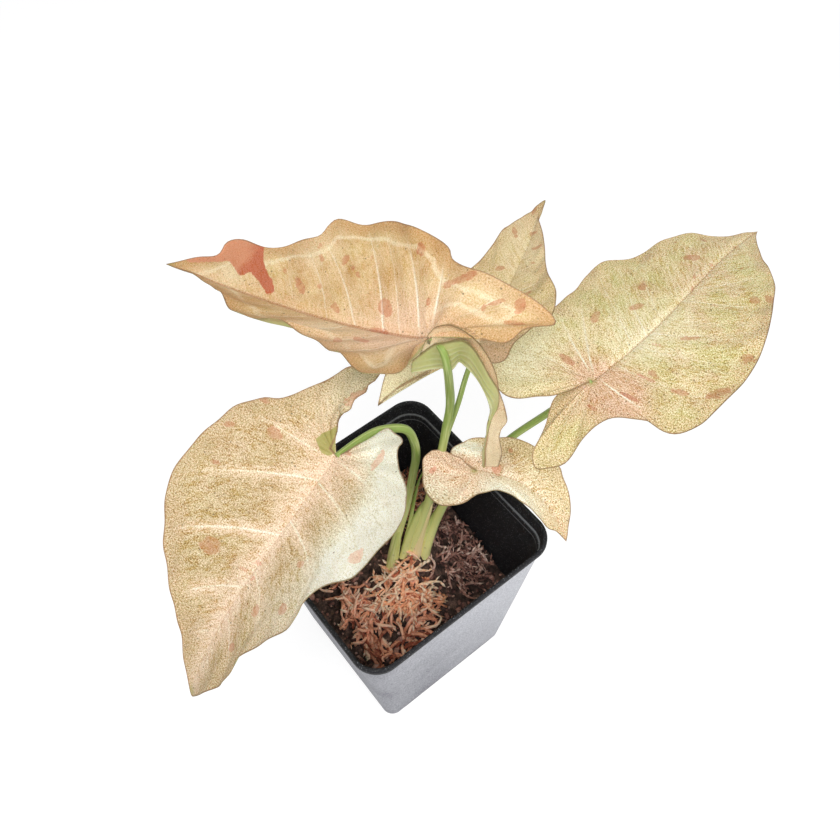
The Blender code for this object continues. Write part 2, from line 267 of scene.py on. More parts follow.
# Each blade hangs on three lines that leave its junction with the stalk: the midrib to the tip and one line
# back along each basal lobe. A line holds headings (yaw), slopes and rolls in degrees at even steps along it,
# and rise is how far a half lifts from the line. joinsAt is the junction's place in the box of the blade's
# solid, as shares. left and right are the flat outlines from the tip back to the notch, as (out, along) in
# millimetres. veins are (start along the midrib, steepness, lightness), waves run along the margin as
# (length, height, shift), swells are (out, along, reach, height), and bow curves a lobe round the notch.
blades = {
    "top": {
        "joinsAt": (0.56, 0.235, 0.79), "length": 120, "lobe": 80, "tip": 119,
        "midrib": {"yaw": (28, 18, 20), "slope": (-16, -13, -12), "roll": (2, 6, 2)},
        "rise": ((28, 28, 28), (22, 22, 22)),
        "lobes": (
            {"yaw": (28, 28, 28), "slope": (-16, -16, -16), "roll": (2, 2, 2), "rise": (28, 28, 28)},
            {"yaw": (28, 21, 21), "slope": (-16, 8, 20), "roll": (2, 0, 0), "rise": (22, 10, 0)},
        ),
        "left": (
            (1, 112), (1, 104), (8, 86), (18, 67), (22, 55), (22, 47), (20, 41), (20, 35), (21, 28),
            (26, 19), (33, 9), (36, 4), (37, 1), (36, -1), (34, -4), (30, -6), (24, -6), (18, -4), (12, -2),
            (6, -1), (3, -1),
        ),
        "right": (
            (3, 113), (7, 106), (10, 99), (15, 97), (18, 91), (18, 80), (24, 71), (28, 62), (33, 60),
            (36, 57), (37, 48), (39, 40), (40, 32), (38, 24), (36, 13), (32, 4), (28, 1), (25, -5),
            (24, -12), (23, -18), (22, -24), (21, -29), (20, -32), (18, -34), (16, -33), (13, -30),
            (10, -27), (7, -26), (4, -24), (3, -20), (3, -16), (4, -13), (5, -9), (5, -5), (3, -2),
        ),
        "veins": (
            (
                (88, 1.4, 0), (74, 1.2, 0.1), (58, 1.1, 0.2), (43, 0.95, 0.3), (28, 0.8, 0.5),
                (14, 0.7, 0.3), (3, 0.6, 0.5), (0, 0.1, 0.3), (0, -0.5, 0.2),
            ),
            (
                (98, 1.4, 0), (84, 1.2, 0), (70, 1.2, 0.1), (55, 1.1, 0.15), (40, 1.1, 0.3),
                (28.5, 1.15, 0.55), (17, 0.75, 0.95), (11, 0.68, 0.4), (3.5, 0.6, 0.95), (0, 0.16, 1.0),
                (0, -0.9, 0.35), (0, -2.4, 0.1),
            ),
        ),
        "cup": 0.6, "crease": 1.4, "puff": 0.9, "waves": ((38, 1.2, 1.0), (17, 0.5, 3.0)), "seed": 3,
    },
    "left": {
        "joinsAt": (0.7035, 0.575, 0.7725), "length": 106, "lobe": 50, "tip": 104,
        "midrib": {"yaw": (108, 98, 100), "slope": (-10, -34, -60), "roll": (0, 2, 2)},
        "rise": ((26, 26, 20), (20, 20, 16)),
        "lobes": (
            {"yaw": (108, 105, 105), "slope": (-10, 20, 40), "roll": (0, 0, 0), "rise": (26, 10, 0)},
            {"yaw": (108, 102, 102), "slope": (-10, 0, 5), "roll": (0, 0, 0), "rise": (20, 10, 0)},
        ),
        "left": (
            (3, 103), (11, 91), (17, 80), (21, 67), (26, 57), (31, 49), (33, 44), (32, 39), (33, 35),
            (37, 31), (40, 28), (41, 24), (43, 18), (44, 13), (43, 7), (38.5, 3), (33, -0.5), (26.5, -4),
            (22.5, -7.5), (20.5, -10.5), (20, -13), (16.5, -16), (12.5, -17.2), (8.5, -18.5), (6.3, -15.5),
            (6, -12), (5, -8), (3, -3),
        ),
        "right": (
            (4, 96), (9, 88), (13, 81), (22, 70), (31, 61), (37, 50), (42, 40), (43, 31), (42, 21),
            (40, 13), (38, 5), (33, -2), (28, -5), (24, -11), (21, -17), (20, -24), (19, -30), (14, -36.5),
            (9.5, -36), (8, -31), (8.5, -28), (7, -25), (8.2, -20.5), (7, -17), (7.8, -14), (7, -10.5),
            (5, -7.5), (4, -4), (3.5, -1),
        ),
        "veins": (
            (
                (84, 1.2, 0.1), (66, 1.0, 0.3), (48, 0.7, 0.4), (27, 0.42, 0.7), (11, 0.36, 0.8),
                (1, 0.22, 0.9), (0, -0.4, 0.4), (0, -1.6, 0.2),
            ),
            (
                (88, 1.3, 0.1), (74, 1.1, 0.3), (55, 0.9, 0.6), (33, 0.66, 1.0), (10, 0.65, 1.0),
                (2, 0.04, 0.7), (0, -0.9, 0.4), (0, -2.6, 0.2),
            ),
        ),
        "cup": 0.15, "crease": 0.25, "puff": 0.9, "waves": ((34, 1.0, 0.0), (14, 0.5, 1.0)), "seed": 11,
        "bow": (2.0, 5.5),
    },
    "right": {
        "joinsAt": (0.27, 0.495, 0.6525), "length": 124, "lobe": 55, "tip": 121,
        "midrib": {"yaw": (-90, -78, -83), "slope": (4, -4, -20), "roll": (0, -6, 4)},
        "rise": ((4, -2, -4), (4, 1, 0)),
        "lobes": (
            {"yaw": (-90, -85, -85), "slope": (4, 5, 20), "roll": (0, 0, 0), "rise": (4, 5, 0)},
            {"yaw": (-90, -85, -85), "slope": (4, 15, 30), "roll": (0, 0, 0), "rise": (4, 5, 0)},
        ),
        "left": (
            (1, 118), (3, 114), (7, 104), (15, 98), (21, 91), (25, 84), (28, 74), (30, 66), (36, 60),
            (38, 52), (38, 45), (36, 32), (34.5, 20), (33, 9), (32.5, 0), (33, -7), (34, -13),
            (33.5, -19.5), (29.5, -24.5), (24, -27), (18, -27.8), (13, -25), (8.5, -19.5), (5, -15),
            (2, -9), (1, -3),
        ),
        "right": (
            (1, 118), (3, 114), (10, 104), (17, 95), (24, 86), (31, 67), (36, 52), (39, 40), (40, 28),
            (40, 18), (40, 11), (37, 5), (32, 2), (25, 1), (18, -6), (15, -13), (15, -21), (16, -32),
            (12, -38), (9, -40), (5, -37), (3, -31), (0, -24), (-3, -19), (-5, -15), (-5, -11), (-3, -7),
            (-1, -3),
        ),
        "veins": (
            (
                (100, 1.5, 0), (86, 1.4, 0.1), (70, 1.3, 0.15), (54, 1.2, 0.2), (40, 1.05, 0.3),
                (30, 0.95, 0.5), (23, 0.75, 0.5), (1, 0.95, 0.9), (1, 0.4, 0.9), (0, -0.3, 0.3),
                (0, -1.0, 0.2),
            ),
            (
                (96, 1.6, 0), (78, 1.7, 0.1), (62, 1.5, 0.35), (55, 0.5, 0.4), (42, 0.6, 0.2),
                (32, 0.8, 0.35), (24, 0.42, 0.4), (11, 0.3, 0.45), (2, 0.08, 1.0), (0, -3.5, 0.5),
                (0, -12, 0.7),
            ),
        ),
        "cup": 0.4, "crease": 0.7, "puff": 0.5, "waves": ((41, 0.7, 2.0), (15, 0.35, 0.0)), "seed": 23,
    },
    "back": {
        "joinsAt": (0.3165, 0.3175, 0.663), "length": 104, "lobe": 50, "tip": 101,
        "midrib": {"yaw": (-63, -58, -53), "slope": (0, -10, -12), "roll": (0, 0, 0)},
        "rise": ((15, 15, 15), (15, 15, 15)),
        "lobes": (
            {"yaw": (-63, -63, -63), "slope": (0, 10, 20), "roll": (0, 0, 0), "rise": (15, 10, 0)},
            {"yaw": (-63, -63, -63), "slope": (0, 10, 20), "roll": (0, 0, 0), "rise": (15, 10, 0)},
        ),
        "left": (
            (1, 99), (3, 93), (4, 88), (6, 84), (10, 73), (12, 65), (13, 54), (14, 46), (15, 38), (19, 28),
            (26, 16), (29, 4), (27, -8), (25, -17), (24, -25), (23, -30), (22, -34), (21, -31), (18, -25),
            (15, -21), (12, -17), (9, -11), (5, -6), (2, -3),
        ),
        "right": (
            (0.3, 99), (-0.5, 94), (-1.5, 90), (0, 85), (1.5, 81), (4, 74), (7, 64), (10, 53), (14, 43),
            (19, 35), (21, 23), (17, 15), (14, 9), (12.5, 5), (12, 0), (10, -3), (6, -4), (3, -2),
        ),
        "veins": (
            (
                (78, 1.4, 0), (62, 1.2, 0.2), (46, 1.1, 0.2), (31, 1.0, 0.3), (17, 0.8, 0.4), (5, 0.6, 0.5),
                (0, 0.0, 0.4), (0, -0.9, 0.6),
            ),
            (
                (78, 1.4, 0), (62, 1.2, 0.2), (46, 1.1, 0.2), (31, 1.0, 0.3), (17, 0.8, 0.4), (5, 0.6, 0.4),
                (0, 0.0, 0.3),
            ),
        ),
        "cup": 0.5, "crease": 0.7, "puff": 0.6, "waves": ((30, 0.8, 0.0), (13, 0.4, 2.0)), "seed": 31,
    },
    "low": {
        "joinsAt": (0.443, 0.759, 0.8885), "length": 50, "lobe": 26, "tip": 49,
        "midrib": {"yaw": (-130, -146, -172, -200), "slope": (-5, -21, -36, -47), "roll": (0, 0, 0)},
        "rise": ((10, 10, 10), (10, 10, 10)),
        "lobes": (
            {"yaw": (-130, -130, -130), "slope": (-5, 5, 20), "roll": (0, 0, 0), "rise": (10, 10, 0)},
            {"yaw": (-130, -172, -150), "slope": (-5, -30, 10), "roll": (0, 0, 0), "rise": (8, 0, -6)},
        ),
        "left": (
            (1, 47), (3, 43), (7, 38), (10, 33), (12, 29), (14, 26), (16, 17), (16, 12), (14, 6), (13, -2),
            (10, -6), (8, -9), (5, -9), (2, -3),
        ),
        "right": (
            (1, 47), (3, 43), (6, 39), (8, 28), (8, 20), (8, 12), (10, 5), (12, 0), (15, -2), (18, -4),
            (20, -6), (19, -8), (16, -11), (12, -14), (9, -18), (5, -18), (3, -17), (0, -14), (-2, -10),
            (-3, -6), (-1, -2),
        ),
        "veins": (
            (
                (38, 1.4, 0), (29, 1.2, 0.1), (20, 1.0, 0.2), (11, 0.8, 0.3), (3, 0.6, 0.4), (0, 0.0, 0.3),
                (0, -1.0, 0.2),
            ),
            (
                (38, 1.4, 0), (29, 1.2, 0.1), (20, 1.0, 0.2), (11, 0.8, 0.2), (3, 0.6, 0.2), (0, -0.3, 0.5),
                (0, -1.2, 0.4),
            ),
        ),
        "cup": 0.5, "crease": 0.5, "puff": 0.6, "waves": ((20, 0.6, 0.0), (9, 0.3, 2.0)), "seed": 47,
        "swells": ((-8, -5, 1.8, 1.8), (-7, 0, 1.8, 1.4), (-4.5, -4.5, 1.3, -2.0)),
    },
}

bladeMake = {
    "rays": 130, "rings": 64, "outlineSteps": 800, "thickness": 0.45, "thinEdge": 0.35, "waveReach": 11,
    "ribHeight": 0.9, "ribWidth": 1.1, "creaseWidth": 1.8,
    "veinRise": 0.25, "veinWidth": 0.8, "veinRunOn": 1.6, "lastGap": 6,  # lastGap: outside the last veins
}


def walkLine(line, reach, direction, steps=60):  # points of a blade's line, with side and up there
    t = np.linspace(0, 1, steps + 1)
    yaw, slope, roll = (np.radians(curveThrough(line[key], t)) for key in ("yaw", "slope", "roll"))
    ahead = np.stack([-np.sin(yaw) * np.cos(slope), np.cos(yaw) * np.cos(slope), np.sin(slope)], -1)
    side = np.stack([np.cos(yaw), np.sin(yaw), 0 * yaw], -1)
    up = np.cross(side, ahead)
    c, s = np.cos(roll)[:, None], np.sin(roll)[:, None]
    moves = (ahead[1:] + ahead[:-1]) / 2 * direction * reach / steps
    points = np.concatenate([np.zeros((1, 3)), np.cumsum(moves, 0)])
    return t * reach, points, side * c - up * s, up * c + side * s


def readLine(distances, line):
    run, *tables = line
    return [np.stack([np.interp(distances, run, table[:, k]) for k in range(3)], -1) for table in tables]


def bendBlade(blade, half, out, along, share):  # moves flat places to where they hang, with up there
    lobe = blade["lobes"][half]
    ahead = (along >= 0)[:, None]
    front = readLine(np.maximum(along, 0), walkLine(blade["midrib"], blade["length"], 1))
    back = readLine(np.maximum(-along, 0), walkLine(lobe, blade["lobe"], -1))
    point, side, up = (np.where(ahead, a, b) for a, b in zip(front, back))
    riseFront = curveThrough(blade["rise"][half], along / blade["length"])
    riseBack = curveThrough(lobe["rise"], -along / blade["lobe"])
    rise = np.radians(np.where(ahead[:, 0], riseFront, riseBack) * share)[:, None]
    side = side if half else -side
    place = point + out[:, None] * (side * np.cos(rise) + up * np.sin(rise))
    return place, up * np.cos(rise) - side * np.sin(rise)


def nearestOnLines(points, line):  # distance to a line of points, and on which side of it a point lies
    start, step = line[:-1], np.diff(line, axis=0)
    offset = points[:, None] - start[None]
    share = np.clip((offset * step).sum(-1) / ((step * step).sum(-1) + 1e-9), 0, 1)
    gap = offset - share[..., None] * step
    distance = np.linalg.norm(gap, axis=-1)
    best = distance.argmin(1)
    row = np.arange(len(points))
    cross = step[best, 0] * gap[row, best, 1] - step[best, 1] * gap[row, best, 0]
    return distance[row, best], np.sign(cross)


def veinLines(blade, half, edge):  # the side veins of one half, tip first, each run on past the margin
    lines = []
    for start, steep, _ in blade["veins"][half]:
        outer = edge[: edge[:, 1].argmin() + 1]
        miss = abs(outer[:, 1] - start - steep * outer[:, 0]) / math.hypot(1, steep)
        miss[outer[:, 0] < 0.15 * outer[:, 0].max()] += 5
        end = outer[miss.argmin()]
        bow = np.array([0.55 * end[0], start + (end[1] - start) * (0.35 if steep > 0 else 0.6)])
        t = np.linspace(0, bladeMake["veinRunOn"], 25)[:, None]
        first = np.array([0.0, start])
        curve = (1 - t) ** 2 * first + 2 * t * (1 - t) * bow + t * t * end
        curve[t[:, 0] > 1] = end + (t[t > 1][:, None] - 1) * 2 * (end - bow)
        lines.append(np.concatenate([[first - 0.3 * (curve[1] - first)], curve]))
    return lines


def veinFields(flat, lines):  # a count that is whole on each vein, and the local distance between veins
    found = [nearestOnLines(flat, line) for line in lines]
    distance = np.stack([d for d, _ in found])
    baseward = np.stack([side < 0 for _, side in found])
    band = np.clip(baseward.sum(0), 0, len(lines))
    row = np.arange(len(flat))
    above = distance[np.maximum(band - 1, 0), row]
    below = distance[np.minimum(band, len(lines) - 1), row]
    phase = band - 1 + above / (above + below + 1e-6)
    gap = above + below
    first, last, lastGap = band == 0, band == len(lines), bladeMake["lastGap"]
    phase[first] = -0.5 * below[first] / (below[first] + lastGap)
    phase[last] = len(lines) - 1 + 0.5 * above[last] / (above[last] + lastGap)
    gap[first] = 2 * (below[first] + lastGap)
    gap[last] = 2 * (above[last] + lastGap)
    return phase, gap


def bladeHalf(blade, half):  # its upper and lower points, ray by ray from the junction out, and its fields
    make = bladeMake
    outline = ((0, blade["tip"]), *blade["right" if half else "left"])
    smooth = curveThrough(outline, np.linspace(0, 1, make["outlineSteps"]))
    edge, run = evenAlong(smooth, make["rays"])
    shares = np.linspace(0, 1, make["rings"] + 1)[1:] ** 0.9
    flat = edge[:, None] * shares[None, :, None]
    bow = blade.get("bow", (0, 0))[half] * smoothStep(-edge[:, 1:], 3, 22)
    flat[..., 0] += 4 * bow * shares * (1 - shares)
    flat = flat.reshape(-1, 2)
    out, along = flat.T
    rim, _ = nearestOnLines(flat, np.concatenate([smooth[::4], smooth[-1:], [[0, 0]]]))
    phase, gap = veinFields(flat, veinLines(blade, half, smooth))
    lights = np.array([light for _, _, light in blade["veins"][half]])
    shine = lights[np.clip(np.round(phase), 0, len(lights) - 1).astype(int)]
    mid = np.hypot(out, np.minimum(along, 0))
    leafAt = np.stack([out if half else -out, along, 0 * rim + blade["seed"] * 10], -1)

    cupped = blade["cup"] + (1 - blade["cup"]) * mid / (mid + rim + 0.1)
    base, normal = bendBlade(blade, half, out, along, cupped)
    height = -blade["crease"] * hump(mid, make["creaseWidth"]) * smoothStep(rim, 0, 6)
    puff = (0.5 - 0.5 * np.cos(2 * math.pi * phase)) * smoothStep(mid, 1, 12) * smoothStep(rim, 0, 9)
    height += blade["puff"] * puff * np.minimum(gap / 14, 1)
    nearEdge = 1 - smoothStep(rim, 0, make["waveReach"])
    turns = 2 * math.pi * np.repeat(run, make["rings"])
    for length, size, shift in blade["waves"]:
        height += nearEdge * size * np.sin(turns / length + shift + half) * smoothStep(mid, 0, 15)
    height += fieldOfPatches(leafAt, blade.get("swells", ()))
    vein = np.abs(phase - np.round(phase)) * gap
    thick = make["thickness"] * (make["thinEdge"] + (1 - make["thinEdge"]) * smoothStep(rim, 0, 3))
    rib = make["ribHeight"] * (1 - 0.75 * np.clip(along / blade["length"], 0, 1))  # lower towards the tip
    thick += rib * hump(mid, make["ribWidth"]) * smoothStep(rim, 0, 4)
    thick += make["veinRise"] * hump(vein, make["veinWidth"]) * smoothStep(rim, 1, 6)
    upper = base + normal * height[:, None]
    lower = upper - normal * thick[:, None]
    fields = {"leafAt": leafAt, "rim": rim, "phase": phase, "gap": gap, "mid": mid, "shine": shine}
    return upper, lower, fields


def fieldOfSpots(at, spots):  # above 0 inside any of the spots
    field = np.full(len(at), -3.0)
    for out, along, length, width, turn in spots:
        x, y = at[:, 0] - out, at[:, 1] - along
        c, s = math.cos(math.radians(turn)), math.sin(math.radians(turn))
        field = np.maximum(field, 1 - ((x * c + y * s) / length) ** 2 - ((y * c - x * s) / width) ** 2)
    return field


def fieldOfPatches(at, patches):  # each patch is (out, along, reach, strength)
    field = np.zeros(len(at))
    for out, along, reach, strength in patches:
        field += strength * np.exp(-((at[:, 0] - out) ** 2 + (at[:, 1] - along) ** 2) / (2 * reach**2))
    return field


def bladeMesh(blade):  # upper and under surfaces, joined along the margin
    (upper0, lower0, fields0), (upper1, lower1, fields1) = (bladeHalf(blade, half) for half in (0, 1))
    rays, rings = bladeMake["rays"], bladeMake["rings"]

    def corner(half, ray, ring):  # ring 0 is the junction, and both halves share the ray along the midrib
        if ring == 0:
            return 0
        return (half * rays * rings if ray else 0) + ray * rings + ring

    faces = []
    for half in (0, 1):
        for ray in range(rays - 1):
            for ring in range(rings):
                face = [corner(half, ray, ring), corner(half, ray, ring + 1)]
                face += [corner(half, ray + 1, ring + 1), corner(half, ray + 1, ring)]
                face = list(dict.fromkeys(face))
                faces.append(face[::-1] if half else face)
    border = [corner(0, ray, rings) for ray in range(rays)]
    border += [corner(0, rays - 1, ring) for ring in range(rings - 1, 0, -1)]
    border += [corner(1, rays - 1, ring) for ring in range(rings)]
    border += [corner(1, ray, rings) for ray in range(rays - 1, 0, -1)]
    normal = (upper0[:1] - lower0[:1]) / np.linalg.norm(upper0[0] - lower0[0])
    junction = -normal * blade["crease"]
    upper = np.concatenate([junction, upper0, upper1])
    junction = junction - normal * (bladeMake["thickness"] + bladeMake["ribHeight"])
    lower = np.concatenate([junction, lower0, lower1])
    fields = {key: np.concatenate([fields0[key][:1] * 0, fields0[key], fields1[key]]) for key in fields0}
    fields["leafAt"][0] = (0, 0, blade["seed"] * 10)
    fields["gap"][0] = 0.1
    used = np.zeros(len(upper), bool)
    used[np.unique([v for face in faces for v in face])] = True
    index = np.cumsum(used) - 1
    fields = {key: values[used] for key, values in fields.items()}
    faces = [[index[v] for v in face] for face in faces]
    return twoSided(upper[used], lower[used], faces, [index[v] for v in border], fields)


def settleBlade(name, blade):  # where the junction with the stalk lies inside the box of the blade's solid
    low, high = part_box(f"blade_{name}")
    return np.array([low[k] + (high[k] - low[k]) * blade["joinsAt"][k] for k in range(3)]) / mm


leafColours = {
    "dot": (0.14, 0.10, 0.04), "pepper": (0.42, 0.35, 0.20), "margin": (0.30, 0.17, 0.08),
    "line": (0.94, 0.85, 0.66), "olive": (0.36, 0.33, 0.09), "stain": (0.64, 0.28, 0.15),
    "deepStain": (0.53, 0.16, 0.08), "under": (0.47, 0.48, 0.17), "underCloud": (0.50, 0.46, 0.20),
    "underVein": (0.66, 0.66, 0.37),
}
leafBody = {"Subsurface_Weight": 0.08, "Subsurface_Scale": 0.001}  # light that passes through the blade

